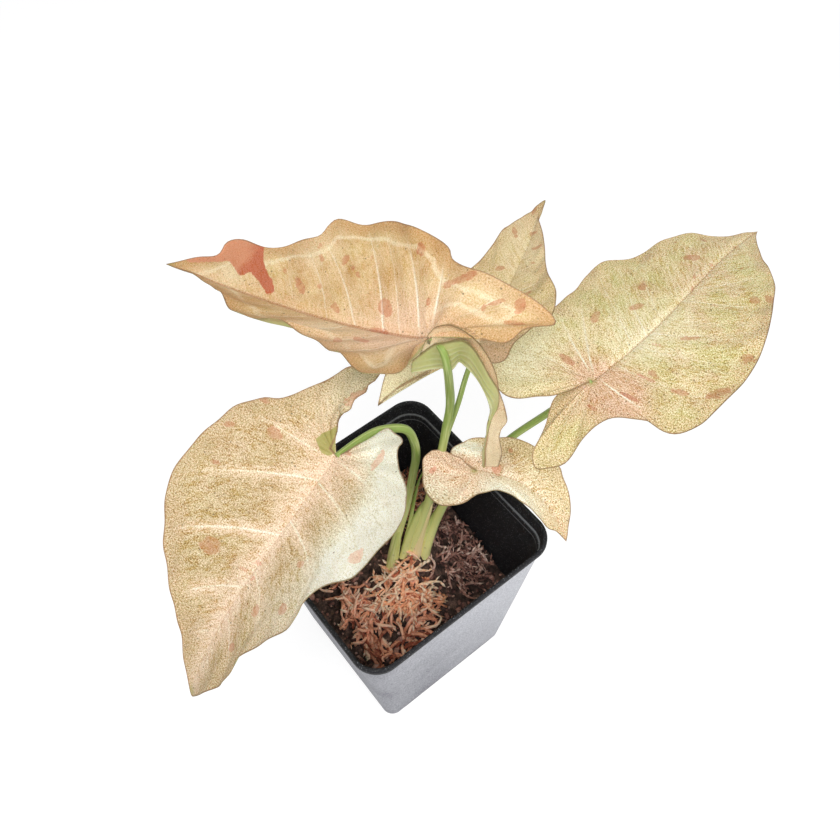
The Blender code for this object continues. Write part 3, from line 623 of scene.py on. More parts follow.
# How each blade is coloured: its ground between the veins, soft bands along the veins, pepper of fine specks,
# crisp spots (out, along, half length, half width, turn), soft patches (out, along, reach, strength), and a
# stain and a flap drawn as outlines. edge darkens a strip along the margin, collect is the light line inside
# that strip, grain the fine mottling, hatch the fine lines along the veins, and streaks the long spots there.
leafLooks = {
    "top": {
        "ground": (0.72, 0.51, 0.27), "tan": (0.56, 0.33, 0.14), "green": (0.7, 0.57, 0.28),
        "greenShare": 0.35, "band": (0.78, 0.57, 0.35), "bandShare": 0.45, "pepper": 0.5, "grain": 0.36,
        "hatch": 0.2, "streaks": 0.4, "rib": (0.5, 0.24, 0.13), "ribShare": 0.6, "pale": (0.9, 0.77, 0.52),
        "pink": (0.78, 0.54, 0.36), "edge": 0.85, "collect": 0.55, "spot": (0.84, 0.58, 0.53),
        "spots": (
            (8, 57, 5, 1.7, 52), (8, 20, 4, 2.4, 55), (4, 38.5, 3, 1.3, 55), (20.5, -3.5, 6, 1.6, -60),
            (-11, 18, 3.4, 1.8, 60), (0, 19, 4.5, 0.9, 90), (-1, 15, 3, 0.8, 80), (12, 4.5, 2.2, 1.1, 20),
            (22.5, 45.5, 2.0, 1.7, 0), (20, 40.5, 1.6, 1.1, 60), (18, 37, 2.2, 0.9, 60),
            (20.5, 55.5, 2.3, 0.9, 60), (12.5, 68, 2, 1, 50), (30, 14.5, 2.6, 1.8, 40), (25, 35, 1.6, 1, 0),
            (16.5, -16.5, 3.2, 1.1, -50), (12, -23.5, 3.4, 1.1, -70), (18, -22.5, 3, 1.8, 0),
            (-16, 23, 3, 1.5, 40), (10.5, 50, 1.6, 1, 50), (25, 59, 2, 1.2, 0), (13.5, -13.5, 1.4, 0.9, 0),
        ),
        "stain": (
            (3, 110), (5, 103), (7, 98), (9, 93), (7, 89), (4.5, 84.5), (5, 82.5), (7.5, 81.5), (5, 75),
            (2, 70), (1, 67.5), (3.5, 66), (7, 69.5), (9, 73.5), (12.5, 77.5), (17.5, 80.5), (24, 86),
            (22, 104), (8, 116),
        ),
        "paleAt": (
            (24, 60, 7, 0.35), (19, -14, 10, 0.25), (-9, 33, 6, 0.35), (11, 83, 6, 0.2), (4, 90, 5, 0.4),
        ),
        "pinkAt": (
            (3, 6, 8, 0.8), (6, 17, 8, 0.4), (-8, 8, 8, 0.6), (-14, 18, 8, 0.5), (-12, 40, 8, 0.3),
            (0, 30, 5, 0.3),
        ),
        "tanAt": (
            (-24, 14, 5, 0.7), (-20, 28, 5, 0.6), (-14, 48, 6, 0.6), (-9, 66, 6, 0.8), (21, 24, 5, 0.6),
            (6, -21, 5, 0.7),
        ),
        "oliveAt": ((0, 118, 1.6, 1.0),),
    },
    "left": {
        "ground": (0.57, 0.43, 0.25), "tan": (0.53, 0.39, 0.225), "green": (0.52, 0.43, 0.21),
        "greenShare": 0.35, "band": (0.83, 0.64, 0.47), "bandShare": 0.9, "pepper": 0.7, "grain": 0.75,
        "hatch": 0.4, "streaks": 0.2, "rib": (0.7, 0.47, 0.32), "ribShare": 0.3, "pale": (0.98, 0.95, 0.78),
        "pink": (0.82, 0.6, 0.44), "edge": 0.35, "collect": 0.0, "spot": (0.9, 0.65, 0.6),
        "spots": (
            (22, 5.5, 4, 1.8, 0), (17.5, 50.5, 4.6, 3.0, 20), (-34.5, 22.5, 3, 2.1, 20),
            (-10.5, 56, 2.2, 2, 0), (-22.5, 47.5, 2.2, 1.8, 0), (-10.5, 72, 2.4, 1.7, 40),
            (8, -22, 6, 2.0, 70), (-16, -4, 4.2, 1.6, 100), (3.5, 50, 2.6, 0.8, 10),
            (-1, 50.5, 1.4, 0.8, 60), (33, 26, 2.2, 1.0, 20), (32, -2, 2.6, 1.0, 0),
            (-15, 35, 1.6, 1.2, 20), (0.5, 45, 1.6, 0.8, 0), (-3.5, -2.5, 1.6, 0.8, 0),
            (36, 12, 2, 1.1, 40),
        ),
        # some of these pale patches are painted light, lightening the lobe where the top blade's shade falls;
        # the rest are the blade's own pale colour
        "paleAt": (
            (-36, 6, 9, 1.0), (-33, 18, 9, 1.0), (-14, -13, 7, 1.4), (-24, -4, 6, 1.0), (-30, 30, 9, 0.8),
            (-22, 50, 9, 0.3), (13, -28, 7, 0.3), (11, -16, 6, 0.2),
        ),
        "pinkAt": (
            (0, 10, 7, 0.7), (0, 26, 6, 0.5), (0, 46, 6, 0.5), (0, 66, 7, 0.5), (12, -6, 8, 0.4),
            (-7, 0, 6, 0.5),
        ),
        "tanAt": (
            (-15, 10, 4, 0.7), (-20, 15, 4, 0.4), (10, 22, 5, 0.4), (-9, 36, 4, 0.4), (18, 8, 6, 0.3),
            (3, 92, 7, 0.3),
        ),
        "oliveAt": ((0, 104, 2.0, 1.0),),
        "flap": ((9.5, -1), (8.5, -4.5), (6, -9), (4, -5), (1, -1), (2, 1.5), (5, 2)),
    },
    "right": {
        "ground": (0.76, 0.62, 0.36), "tan": (0.62, 0.46, 0.25), "green": (0.62, 0.57, 0.26),
        "greenShare": 0.75, "band": (0.84, 0.69, 0.45), "bandShare": 0.5, "pepper": 0.95, "grain": 0.95,
        "hatch": 0.45, "streaks": 0.6, "rib": (0.46, 0.27, 0.14), "ribShare": 0.5,
        "pale": (0.92, 0.83, 0.58), "pink": (0.7, 0.46, 0.31), "edge": 0.45, "collect": 0.1,
        "spot": (0.77, 0.53, 0.49),
        "spots": (
            (-10, 80, 4.2, 2.0, 55), (-16.5, 52.5, 3.2, 1.6, 110), (-12, 40, 3.2, 1.5, 60),
            (-2, 81, 1.5, 1, 0), (0.5, 100, 2, 1.3, 0), (-12, 94.5, 1.7, 1, 0), (-20, 85, 1.2, 0.7, 0),
            (28, 77, 4, 2.6, 40), (22, 70, 2.8, 2.1, 60), (13, 38.5, 3.8, 1.1, 40),
            (5.5, 28.5, 2.4, 0.8, 20), (13, 17, 2.8, 1.3, 0), (25.5, 17, 3.2, 1.2, 20),
            (35, 42, 3, 2.4, 60), (4, 61.5, 4.2, 0.8, 30), (12, 14, 4.2, 0.8, 10), (17, 60.5, 3.2, 0.8, 30),
            (11, 58.5, 3, 0.7, 25), (-3, 69.5, 2, 0.7, 120), (0, 62.5, 2.2, 0.7, 120),
            (36, 24.5, 4.6, 2.0, 60), (-20, 24, 3.4, 1.6, 110), (-13, -1, 3.2, 1.3, 10),
            (14, 4, 4, 0.8, 10), (10, 88, 4, 0.8, 60), (8, -9, 2, 1, 0),
        ),
        # the strong patch at (-25, -14) is painted light, lightening the left lobe where it lies in shade
        # under the leaves above
        "paleAt": (
            (-6, 26, 10, 0.35), (-25, -14, 9, 1.0), (-28, 4, 7, 0.5), (8, 40, 10, 0.25), (4, 26, 6, 0.3),
        ),
        "pinkAt": (
            (0, 2, 6, 0.8), (10, 1, 8, 0.9), (18, -1, 7, 0.5), (-10, 0, 7, 0.5), (0, 72, 7, 0.35),
            (10, 8, 6, 0.4),
        ),
        "tanAt": (
            (2, -14, 4, 1.0), (-1, -19, 4, 1.0), (24, -2, 10, 0.35), (30, 66, 9, 0.4), (37, 30, 6, 0.4),
            (-26, -12, 9, 0.3),
        ),
        "oliveAt": ((0, -1, 1.2, 0.8), (-22, 50, 9, 0.1), (-20, 34, 5, 0.15), (0, 122, 1.5, 0.9)),
    },
    "back": {
        "ground": (0.76, 0.6, 0.34), "tan": (0.6, 0.42, 0.22), "green": (0.66, 0.57, 0.28),
        "greenShare": 0.5, "band": (0.82, 0.66, 0.4), "bandShare": 0.4, "pepper": 0.7, "grain": 0.6,
        "hatch": 0.3, "streaks": 0.5, "rib": (0.55, 0.36, 0.19), "ribShare": 0.3,
        "pale": (0.88, 0.76, 0.49), "pink": (0.78, 0.52, 0.34), "edge": 0.35, "collect": 0.1,
        "spot": (0.8, 0.56, 0.5),
        "spots": (
            (-6, 44, 3, 1.2, 60), (4, 63.5, 3.2, 1.3, 40), (0, 74.5, 2.2, 1, 60), (-7, 69.5, 3.2, 1.2, 110),
            (8.5, 33.5, 2.6, 0.8, 60), (-3, 90, 3.5, 1, 90), (5, 52, 1.6, 0.8, 0),
        ),
        # the strong patch at (-20, -22) is painted light, lightening the left lobe where the top blade's
        # shade falls
        "paleAt": ((0, 60, 10, 0.3), (-20, -22, 10, 1.6), (-3, 78, 7, 0.3)),
        "pinkAt": ((-16, -18, 9, 0.7), (5, 0, 9, 0.8)),
        "tanAt": ((0, 92, 8, 0.9), (2, 76, 8, 0.5), (10, 4, 6, 0.5), (-10, 46, 7, 0.4)),
        "oliveAt": ((0, 101, 2, 0.7),),
    },
    "low": {
        "ground": (0.77, 0.61, 0.37), "tan": (0.66, 0.49, 0.28), "green": (0.68, 0.59, 0.31),
        "greenShare": 0.4, "band": (0.85, 0.64, 0.45), "bandShare": 0.5, "pepper": 0.9, "grain": 1.0,
        "hatch": 0.7, "streaks": 0.3, "rib": (0.72, 0.46, 0.31), "ribShare": 0.3, "pale": (0.96, 0.88, 0.7),
        "pink": (0.83, 0.56, 0.41), "edge": 0.3, "collect": 0.0, "spot": (0.85, 0.58, 0.52),
        "spots": ((-2, 8, 2.6, 2.0, 30), (9, -12, 2, 1, 0), (-10.5, 11.5, 1, 0.8, 0)),
        "paleAt": (
            (8, 8, 5, 0.9), (8, 18, 5, 0.7), (15, -8, 5, 0.5), (8, 28, 5, 0.6), (-9, -7, 1.6, 2.0),
            (-9, -3, 1.8, 2.0), (-8, 0, 1.8, 1.6),
        ),
        "pinkAt": ((6, -6, 8, 1.0), (0, 3, 6, 0.7), (3, -14, 7, 0.9), (-3, 12, 6, 0.3)),
        # the two strong tan patches by the notch, at (-4.5, -4) and (-3, -5), are painted shade in the pocket
        # under the rolled inner edge of the left lobe
        "tanAt": ((-4.5, -4, 1.6, 2.0), (-3, -5, 1.6, 1.6), (0, 46, 5, 0.6), (-13, 14, 5, 0.3)),
        "oliveAt": ((0.5, -0.5, 1.0, 0.8),),
    },
}


def fieldOfShape(at, shape):  # distance to the edge of a closed outline, above 0 inside it
    if not shape:
        return np.full(len(at), -9.0)
    loop = np.array([*shape, shape[0]], float)
    distance, _ = nearestOnLines(at[:, :2], loop)
    inside = np.zeros(len(at), bool)
    for (x0, y0), (x1, y1) in zip(loop, loop[1:]):
        crosses = (y0 > at[:, 1]) != (y1 > at[:, 1])
        inside ^= crosses & (at[:, 0] < x0 + (at[:, 1] - y0) * (x1 - x0) / (y1 - y0 + 1e-9))
    return np.where(inside, distance, -distance)


def bladeFields(name, fields):
    look = leafLooks[name]
    at = fields["leafAt"]
    fields["spot"] = fieldOfSpots(at, look["spots"])
    for key in ("stain", "flap"):
        fields[key] = fieldOfShape(at, look.get(key, ()))
    for key in ("pale", "pink", "tan", "olive"):
        fields[f"{key}Patch"] = fieldOfPatches(at, look[f"{key}At"])
    return fields


def upperPaint(name):
    look, colour = leafLooks[name], leafColours
    paint = Paint(f"leaf upper side {name}", **leafBody, Specular_IOR_Level=0.35)
    at = paint.place("leafAt")
    rim, phase, gap, mid, shine = (paint.value(key) for key in ("rim", "phase", "gap", "mid", "shine"))
    outward = abs(paint.part(at, 0))
    cloud = paint.noise(at, 0.11, 4, 0.6)
    mottle = paint.noise(at, 0.5, 4, 0.65)
    grain = paint.noise(at, 2.0, 2, 1.0)
    alongVeins = paint.add("ShaderNodeCombineXYZ", None, (phase * 13, outward * 0.3, look["greenShare"]))
    hatch = paint.noise(alongVeins, 1.0, 2, 0.8)
    torn = 0.55 + 0.8 * mottle
    patch = {key: paint.value(f"{key}Patch") * torn for key in ("pale", "pink", "tan", "olive")}
    vein = phase.fromWhole() * gap
    inland = rim.between(1.5, 9.0)
    reach = 1 - outward.between(6.0, 34.0) * 0.75
    bandWidth = (5.2 - outward * 0.07).most(1.5)
    band = (1 - (vein / bandWidth).between(0.1, 1.0)) * inland * reach * (0.35 + 0.65 * shine)
    band = band.most(1 - mid.between(0.8, 6.5)) * look["bandShare"] * (0.7 + 0.6 * mottle)
    line = (1 - vein.between(0.1, 0.3 + 0.35 * shine)) * inland * reach * shine * (0.5 + mottle)
    rib = (1 - mid.between(0.12, 0.45)) * look["ribShare"]

    base = paint.mix(cloud.between(0.4, 0.68) * (1 - band), look["ground"], look["tan"])
    green = 1 - paint.noise(at, 0.075, 3).between(0.38, 0.62)
    strip = 1 - (rim + 3 * (cloud - 0.5)).between(1.5, 6.5)
    collect = 1 - abs(rim + 4 * (cloud - 0.5) - 6.8).between(0.2, 1.3)
    base = paint.layers(
        base, (green * (1 - band) * look["greenShare"], look["green"]), (band, look["band"]),
        (strip * look["edge"], look["tan"]), (collect * look["collect"], look["pale"]),
        (patch["tan"].least(0.95), look["tan"]), (patch["pink"].least(0.9), look["pink"]),
        (patch["pale"].least(0.97), look["pale"]), (line.least(1.0), colour["line"]), (rib, look["rib"]),
    )

    ragged = 1.1 * (paint.noise(at, 0.6, 3) - 0.5)  # roughens the outlines of the stain and the spots
    chips = 0.9 * (paint.part(paint.cells(at, 0.38, "Color"), 0) - 0.5)  # gives the spots angular corners
    stain = (paint.value("stain") + 1.2 * ragged).between(-0.1, 0.35)
    deep = 1 - (paint.part(at, 1) + 10 * (cloud - 0.5)).between(81, 88)  # darker towards the junction
    base = paint.mix(stain, base, paint.mix(deep, colour["stain"], colour["deepStain"]))
    spot = (paint.value("spot") + 0.3 * ragged + chips).between(-0.05, 0.15)
    between = paint.add("ShaderNodeCombineXYZ", None, (phase * 3.4, outward * 0.13, look["greenShare"]))
    streak = paint.flecks(between, 1.0, (0.06, 0.15), (0.7, 0.74), 1, ragged * 0.1) * look["streaks"]
    soft = tuple(0.35 + 0.65 * value for value in look["spot"])
    spotTone = paint.mix(mottle.between(0.35, 0.65), look["spot"], soft)
    base = paint.mix(spot.most(streak * 0.8), base, spotTone, "MULTIPLY")

    plain = 1 - 0.6 * spot.most(stain)
    base = paint.grade(plain * look["grain"], base, grain, 0.14, (0.27, 0.27, 0.27), (0.72, 0.71, 0.68))
    lines = inland * plain * look["hatch"]
    base = paint.grade(lines, base, hatch, 0.16, (0.35, 0.33, 0.30), (0.60, 0.60, 0.59))
    pepper = paint.flecks(at, 0.66, (0.1, 0.3), (0.35, 0.75), 0) * (1 - band * 0.5)
    pepper = pepper * (1 - 0.6 * patch["pale"].least(1.0))
    base = paint.mix(pepper * look["pepper"], base, colour["pepper"], "MULTIPLY")
    dot = paint.flecks(at, 0.3, (0.06, 0.13), (0.45, 0.55), 2)
    base = paint.layers(base, (dot * 0.75, colour["dot"]), (patch["olive"].least(0.95), colour["olive"]))
    if "flap" in look:
        base = paint.mix(paint.value("flap").between(-0.2, 0.3) * 0.9, base, colour["olive"])
    margin = 1 - (rim + 0.6 * (mottle - 0.5)).between(0.15, 0.6)
    base = paint.mix(margin * 0.8, base, colour["margin"])
    height = 0.5 * grain + 0.8 * mottle + cloud - 1.2 * line - 2.0 * rib - 0.5 * pepper
    return paint.finish(base, 0.45 + 0.2 * grain, height, depth=0.2, strength=0.7)


def underPaint(name):
    colour = leafColours
    paint = Paint(f"leaf under side {name}", **leafBody, Specular_IOR_Level=0.3)
    at = paint.place("leafAt")
    rim, phase, gap, mid = (paint.value(key) for key in ("rim", "phase", "gap", "mid"))
    cloud = paint.noise(at, 0.12, 4)
    grain = paint.noise(at, 1.2, 2, 0.7)
    base = paint.mix(cloud.between(0.35, 0.7) * 0.7, colour["under"], colour["underCloud"])
    vein = phase.fromWhole() * gap
    line = (1 - vein.between(0.2, 0.9)) * rim.between(1.0, 7.0)
    raised = (line * 0.45).most(1 - mid.between(0.6, 1.6))
    base = paint.layers(
        base, (raised, colour["underVein"]), ((1 - rim.between(0.3, 1.2)) * 0.6, colour["margin"]),
        (grain.between(0.45, 0.75) * 0.25, colour["underVein"]),
    )
    height = 0.6 * grain + cloud + 1.2 * line
    return paint.finish(base, 0.5 + 0.15 * grain, height, depth=0.15, strength=0.6)


junctions = {}
for name, blade in blades.items():
    points, faces, slots, fields = bladeMesh(blade)
    junctions[name] = settleBlade(name, blade)
    materials, fields = (upperPaint(name), underPaint(name)), bladeFields(name, fields)
    points = points + junctions[name]
    makePiece(f"leaf_{name}", points, faces, materials, fields, (f"blade_{name}",), slots)
    print(f"leaf {name}: junction at", np.round(junctions[name], 1), "mm,", len(faces), "faces")


# The top blade's left lobe hangs over the stalk, folded into a gutter. Its near wall is seen from outside,
# and its far wall, which opens out towards the end of the lobe, from inside.
hangingLobe = {
    "near": (
        (15, 4, 187), (21.5, 2, 191.5), (24, -1.5, 194.5), (27, -6, 197.5), (28, -10, 197),
        (28, -14.5, 194.5), (29.5, -16.5, 188), (32.5, -18, 179), (33.5, -17.5, 168.5), (32.5, -16, 160),
        (31.5, -15.5, 150), (31, -15.5, 142), (30.5, -16.5, 131.5),
    ),
    "keel": (
        (15, 4, 182), (23, 0, 181), (25.5, -3, 181), (28, -3.5, 183.5), (27, -9, 186.5), (28, -12.5, 184),
        (29.5, -15, 178), (30.5, -16.5, 171.5), (32, -16, 164), (31.5, -15.5, 156.5), (31.5, -15.5, 149),
        (31, -15.5, 141), (31, -16, 131),
    ),
    "far": (
        (21, 3, 196.5), (23.5, 2, 199), (26.5, -1.5, 200.5), (28.5, -6.5, 200), (29.5, -11, 198.5),
        (31, -14, 193.5), (32.5, -16.5, 185.5), (33.5, -17.5, 177), (36.5, -18, 165.5), (37, -19, 157.5),
        (35, -18, 150.5), (35.5, -19.5, 141), (34.5, -19.5, 131),
    ),
    "steps": 120, "across": 37, "thickness": 0.4, "veinGap": 2.6, "pleat": 0.07, "ruffle": 0.6,
    "frill": 0.12, "seed": 77,
}


def addHangingLobe():
    lobe = hangingLobe
    steps, rows = lobe["steps"], lobe["across"]
    t = np.linspace(0, 1, steps)
    near, keel, far = (curveThrough(lobe[key], t) for key in ("near", "keel", "far"))
    outward = (far - keel) / np.linalg.norm(far - keel, axis=1, keepdims=True)
    frill = np.sin(t * 62 + 1.5 * np.sin(t * 23)) * smoothStep(t, 0.5, 0.6) * (1 - smoothStep(t, 0.82, 0.9))
    far = far + outward * (lobe["frill"] * frill)[:, None]  # small folds along the far wall's edge
    share = np.linspace(0, 1, rows)[:, None, None]
    pull = 2 * keel - (near + far) / 2
    grid = (1 - share) ** 2 * near + 2 * share * (1 - share) * pull + share**2 * far
    across = walked(grid)
    along = np.broadcast_to(walked(keel), (rows, steps))
    fromKeel = across - across[rows // 2]
    fromFar = across[-1:] - across
    rim = np.minimum(np.minimum(across, fromFar), along[0, -1] - along)
    ruffle = lobe["ruffle"] * np.sin(along / 2.6 + 1.3 * np.sin(along / 7)) * smoothStep(along, 20, 50)
    pleat = lobe["pleat"] * np.sin(2 * math.pi * fromKeel / lobe["veinGap"])
    normal = np.cross(np.gradient(grid, axis=1), np.gradient(grid, axis=0))
    normal /= np.linalg.norm(normal, axis=2, keepdims=True) + 1e-9
    upper = grid + normal * (ruffle * np.exp(-fromFar / 2.0) + pleat)[..., None]
    lower = upper - normal * lobe["thickness"] * (0.4 + 0.6 * smoothStep(rim, 0, 1.5))[..., None]
    fields = {
        "rim": rim, "phase": fromKeel / lobe["veinGap"], "mid": np.abs(fromKeel),
        "palePatch": 0.45 + 0.25 * smoothStep(along, 45, 60),
        "pinkPatch": 0.2 * (1 - smoothStep(along, 0, 25)), "tanPatch": 0.0, "olivePatch": 0.0,
        "gap": lobe["veinGap"], "shine": 0.2, "spot": -3.0, "stain": -9.0,
    }
    fields = {key: np.broadcast_to(values, (rows, steps)).ravel() for key, values in fields.items()}
    fields["leafAt"] = np.stack([-fromKeel, -along, 0 * rim + lobe["seed"]], -1).reshape(-1, 3)
    points, faces, slots, fields = twoSided(
        upper.reshape(-1, 3), lower.reshape(-1, 3), gridFaces(rows, steps), gridBorder(rows, steps), fields
    )
    materials = [bpy.data.materials[f"leaf {side} side top"] for side in ("upper", "under")]
    makePiece("leaf_top_lobe", points, faces, materials, fields, (), slots)


addHangingLobe()

# Stalks run from inside the crown to the underside of their blades.
stalks = {
    "top": {
        "route": (
            (3.5, 0, 56), (9, 1, 70), (14.5, 2, 83), (18.5, 2.5, 94), (23, 3.5, 108), (26, 3, 124),
            (27.5, 2.5, 138), (29, 2, 152), (26.5, -0.5, 168.5), (23.5, -3, 183), (23, -2, 189.5),
            (23, -0.5, 191.5), (24, 3, 189.5), (24, 4.5, 190),
        ),
        "radii": (2.4, 2.0, 1.8, 1.75, 1.75, 1.75, 1.75, 1.7, 1.7, 1.7, 1.6, 1.5, 1.2, 0.8),
    },
    "left": {
        "route": (
            (-2.5, 3, 54), (1.5, 5, 68), (6, 6.5, 78), (10, 7, 89), (13.5, 8, 99), (16, 8.5, 110),
            (17.5, 8, 122), (16, 7, 136), (12.5, 7.5, 146), (4.5, 11, 148.5), (-3.5, 12, 148.5),
        ),
        "radii": (2.8, 2.2, 1.9, 1.75, 1.7, 1.7, 1.7, 1.65, 1.6, 1.6, 1.5),
    },
    "right": {
        "route": (
            (9, -4, 55), (13, -2.5, 67), (18, -1, 77), (22.5, -1, 88), (29.5, -1.5, 100), (44, -5, 112),
            (53, -7.5, 120), (65, -12.5, 130), (74.5, -16.5, 138),
        ),
        "radii": (2.7, 2.3, 2.1, 2.0, 1.7, 1.5, 1.5, 1.5, 1.4),
    },
    "back": {
        "route": (
            (0, 0.5, 54), (5, 2, 67), (8.5, 3, 75), (12.5, 3.5, 83), (16.5, 3.5, 89), (20, 2.5, 94),
            (23.5, 3, 106), (29, 4.5, 127), (35, 5, 143), (40.5, 7, 154),
        ),
        "radii": (2.2, 1.9, 1.75, 1.7, 1.6, 1.5, 1.3, 1.15, 1.1, 1.1),
    },
    "low": {
        "route": (
            (10, -1, 56), (13.5, -0.5, 70), (18.5, 0, 81), (24.5, -1, 92), (29.5, -4.5, 106),
            (31.5, -8, 114),
        ),
        "radii": (1.8, 1.6, 1.4, 1.3, 1.2, 1.2),
    },
}
sheaths = {
    "outer": {
        "route": ((6.5, -2.5, 55), (9.5, -0.5, 67), (13.5, 1, 76), (18, 1.5, 87), (20, 2, 92)),
        "radii": (3.0, 2.6, 2.1, 1.5, 0.7), "paint": "dry sheath", "nodes": ("leaf_sheath",),
    },
    "olive": {
        "route": ((-3.5, 2, 54), (0, 3.5, 64), (3.5, 5, 73), (7, 6.5, 82)), "radii": (2.8, 2.3, 1.7, 0.7),
        "paint": "pale sheath", "nodes": (),
    },
    "thin": {
        "route": ((5, 3, 66), (10, 4.5, 80), (14.5, 6.5, 93), (17.5, 7, 104), (19.5, 6.5, 110)),
        "radii": (1.0, 0.9, 0.8, 0.6, 0.25), "paint": "green stalk", "nodes": (),
    },
}
stemBase = {"route": ((6, -1, 46), (6, -1, 53), (6, -0.5, 58), (6.5, 0, 62)), "radii": (6.6, 6.4, 5.2, 2.6)}
# below is how far under the junction a stalk ends, and skin the radius that its colours are worked out on
stalkMake = {"sides": 20, "steps": 90, "groove": 0.22, "below": 0.6, "skin": 1.6}


def sweepTube(route, radii, sides, steps, groove=0.0):  # a tube with a groove along its upper side
    line, run = evenAlong(curveThrough(route, np.linspace(0, 1, steps)), steps)
    radius = curveThrough(radii, run / run[-1])
    ahead = np.gradient(line, axis=0)
    ahead /= np.linalg.norm(ahead, axis=1, keepdims=True)
    across = np.cross(ahead[0], (0.2, 0.3, 1.0))
    angles = np.linspace(0, 2 * math.pi, sides, endpoint=False)
    c, s = np.cos(angles)[:, None], np.sin(angles)[:, None]
    cut = 1 - groove * hump(angles - math.pi / 2, 0.5)
    points = []
    for k in range(steps):
        across = unit(across - ahead[k] * across.dot(ahead[k]))
        lift = np.cross(across, ahead[k])
        points.append(line[k] + (radius[k] * cut)[:, None] * (across * c + lift * s))
    return np.concatenate(points), ringFaces(steps, sides), np.tile(angles, steps), np.repeat(run, sides)


def stalkPaint(name, low, middle, high, streak):
    paint = Paint(name, Subsurface_Weight=0.06, Subsurface_Scale=0.001, Specular_IOR_Level=0.4)
    at = paint.place("stalkAt")
    colour = paint.ramp(paint.value("share"), (0.0, low), (0.22, middle), (0.6, high), (1.0, high))
    lines = paint.noise(paint.stretch(at, (1.6, 1.6, 0.05)), 1.0, 3)
    colour = paint.mix(lines.between(0.42, 0.72) * 0.55, colour, streak)
    flecks = paint.noise(at, 0.9, 2, 0.7)
    colour = paint.mix(flecks.between(0.62, 0.75) * 0.35, colour, (0.16, 0.13, 0.05))
    return paint.finish(colour, 0.38 + 0.2 * flecks, lines * 0.8 + flecks * 0.3, depth=0.2, strength=0.7)


# the colours at the foot, a little higher and from the middle up, and the colour of the fine streaks
stalkColours = {
    "green stalk": ((0.92, 0.84, 0.36), (0.74, 0.76, 0.28), (0.25, 0.35, 0.075), (0.72, 0.78, 0.38)),
    "pale sheath": ((0.90, 0.82, 0.34), (0.80, 0.78, 0.28), (0.62, 0.66, 0.20), (0.92, 0.92, 0.56)),
    "dry sheath": ((0.95, 0.70, 0.40), (0.95, 0.72, 0.40), (0.80, 0.68, 0.30), (1.0, 0.86, 0.62)),
    "stem skin": ((0.16, 0.10, 0.06), (0.34, 0.22, 0.12), (0.50, 0.38, 0.18), (0.56, 0.44, 0.26)),
}
stalkPaints = {name: stalkPaint(name, *colours) for name, colours in stalkColours.items()}


def addStalk(name, route, radii, paint, nodes=(), groove=0.0):
    points, faces, around, along = sweepTube(route, radii, stalkMake["sides"], stalkMake["steps"], groove)
    at = np.stack([np.cos(around) * stalkMake["skin"], np.sin(around) * stalkMake["skin"], along], -1)
    fields = {"stalkAt": at, "share": along / along.max()}
    makePiece(name, points, faces, (stalkPaints[paint],), fields, nodes)


for name, stalk in stalks.items():
    route = (*stalk["route"], junctions[name] - (0, 0, stalkMake["below"]))
    nodes = (f"petiole_{name}",)
    addStalk(f"stalk_{name}", route, stalk["radii"], "green stalk", nodes, stalkMake["groove"])
for name, sheath in sheaths.items():
    addStalk(f"sheath_{name}", sheath["route"], sheath["radii"], sheath["paint"], sheath["nodes"])
addStalk("stem_crown", stemBase["route"], stemBase["radii"], "stem skin", ("stem_base",))
print("stalks and sheaths made")


# The pot: a thin tapered square wall with a rounded lip, a stacking ledge and drain holes.
# innerBase and innerFlare say how far its wall stands out at the base, and how much further at the rim.
pot = {
    "baseShare": 33 / 45, "wall": 1.2, "floor": 1.6, "lipHeight": 3.0, "lipStep": 0.8, "ledgeDrop": 7.0,
    "cornerTop": 10.5, "cornerBase": 5.0, "cornerSteps": 12, "sideSteps": 10, "sharpAngle": 50,
    "drainRadius": 4.0, "drainOffset": 20.0, "lineLevels": (93.0, 90.6), "baseShadeReach": 26.0,
    "height": 100, "innerBase": 33, "innerFlare": 11.2, "innerCorner": 6.5,
}
# low and high: the outside wall's grey, a painted reflection on the black plastic, darker low down and
# towards -x as painted shade, lighter high up and towards +x as painted light
potColours = {
    "low": (0.26, 0.26, 0.29), "high": (0.62, 0.63, 0.67), "cloud": (0.56, 0.57, 0.60),
    # base: the painted shadow in the slot under the middle of each side
    "base": (0.02, 0.02, 0.022), "black": (0.006, 0.006, 0.008), "worn": (0.045, 0.045, 0.05),
    "scratch": (0.30, 0.31, 0.33),
}


def squareRing(half, radius, z):  # a square with rounded corners
    reach = (half - radius) * math.sqrt(2)

    def onCorner(corner, share):
        middle, turn = (corner + 0.5) * math.pi / 2, (corner + share) * math.pi / 2
        x = reach * math.cos(middle) + radius * math.cos(turn)
        return np.array([x, reach * math.sin(middle) + radius * math.sin(turn), z])

    ring = []
    for corner in range(4):
        ring += [onCorner(corner, share) for share in np.linspace(0, 1, pot["cornerSteps"] + 1)]
        start, end = ring[-1], onCorner(corner + 1, 0)
        ring += [start + (end - start) * step / pot["sideSteps"] for step in range(1, pot["sideSteps"])]
    return ring


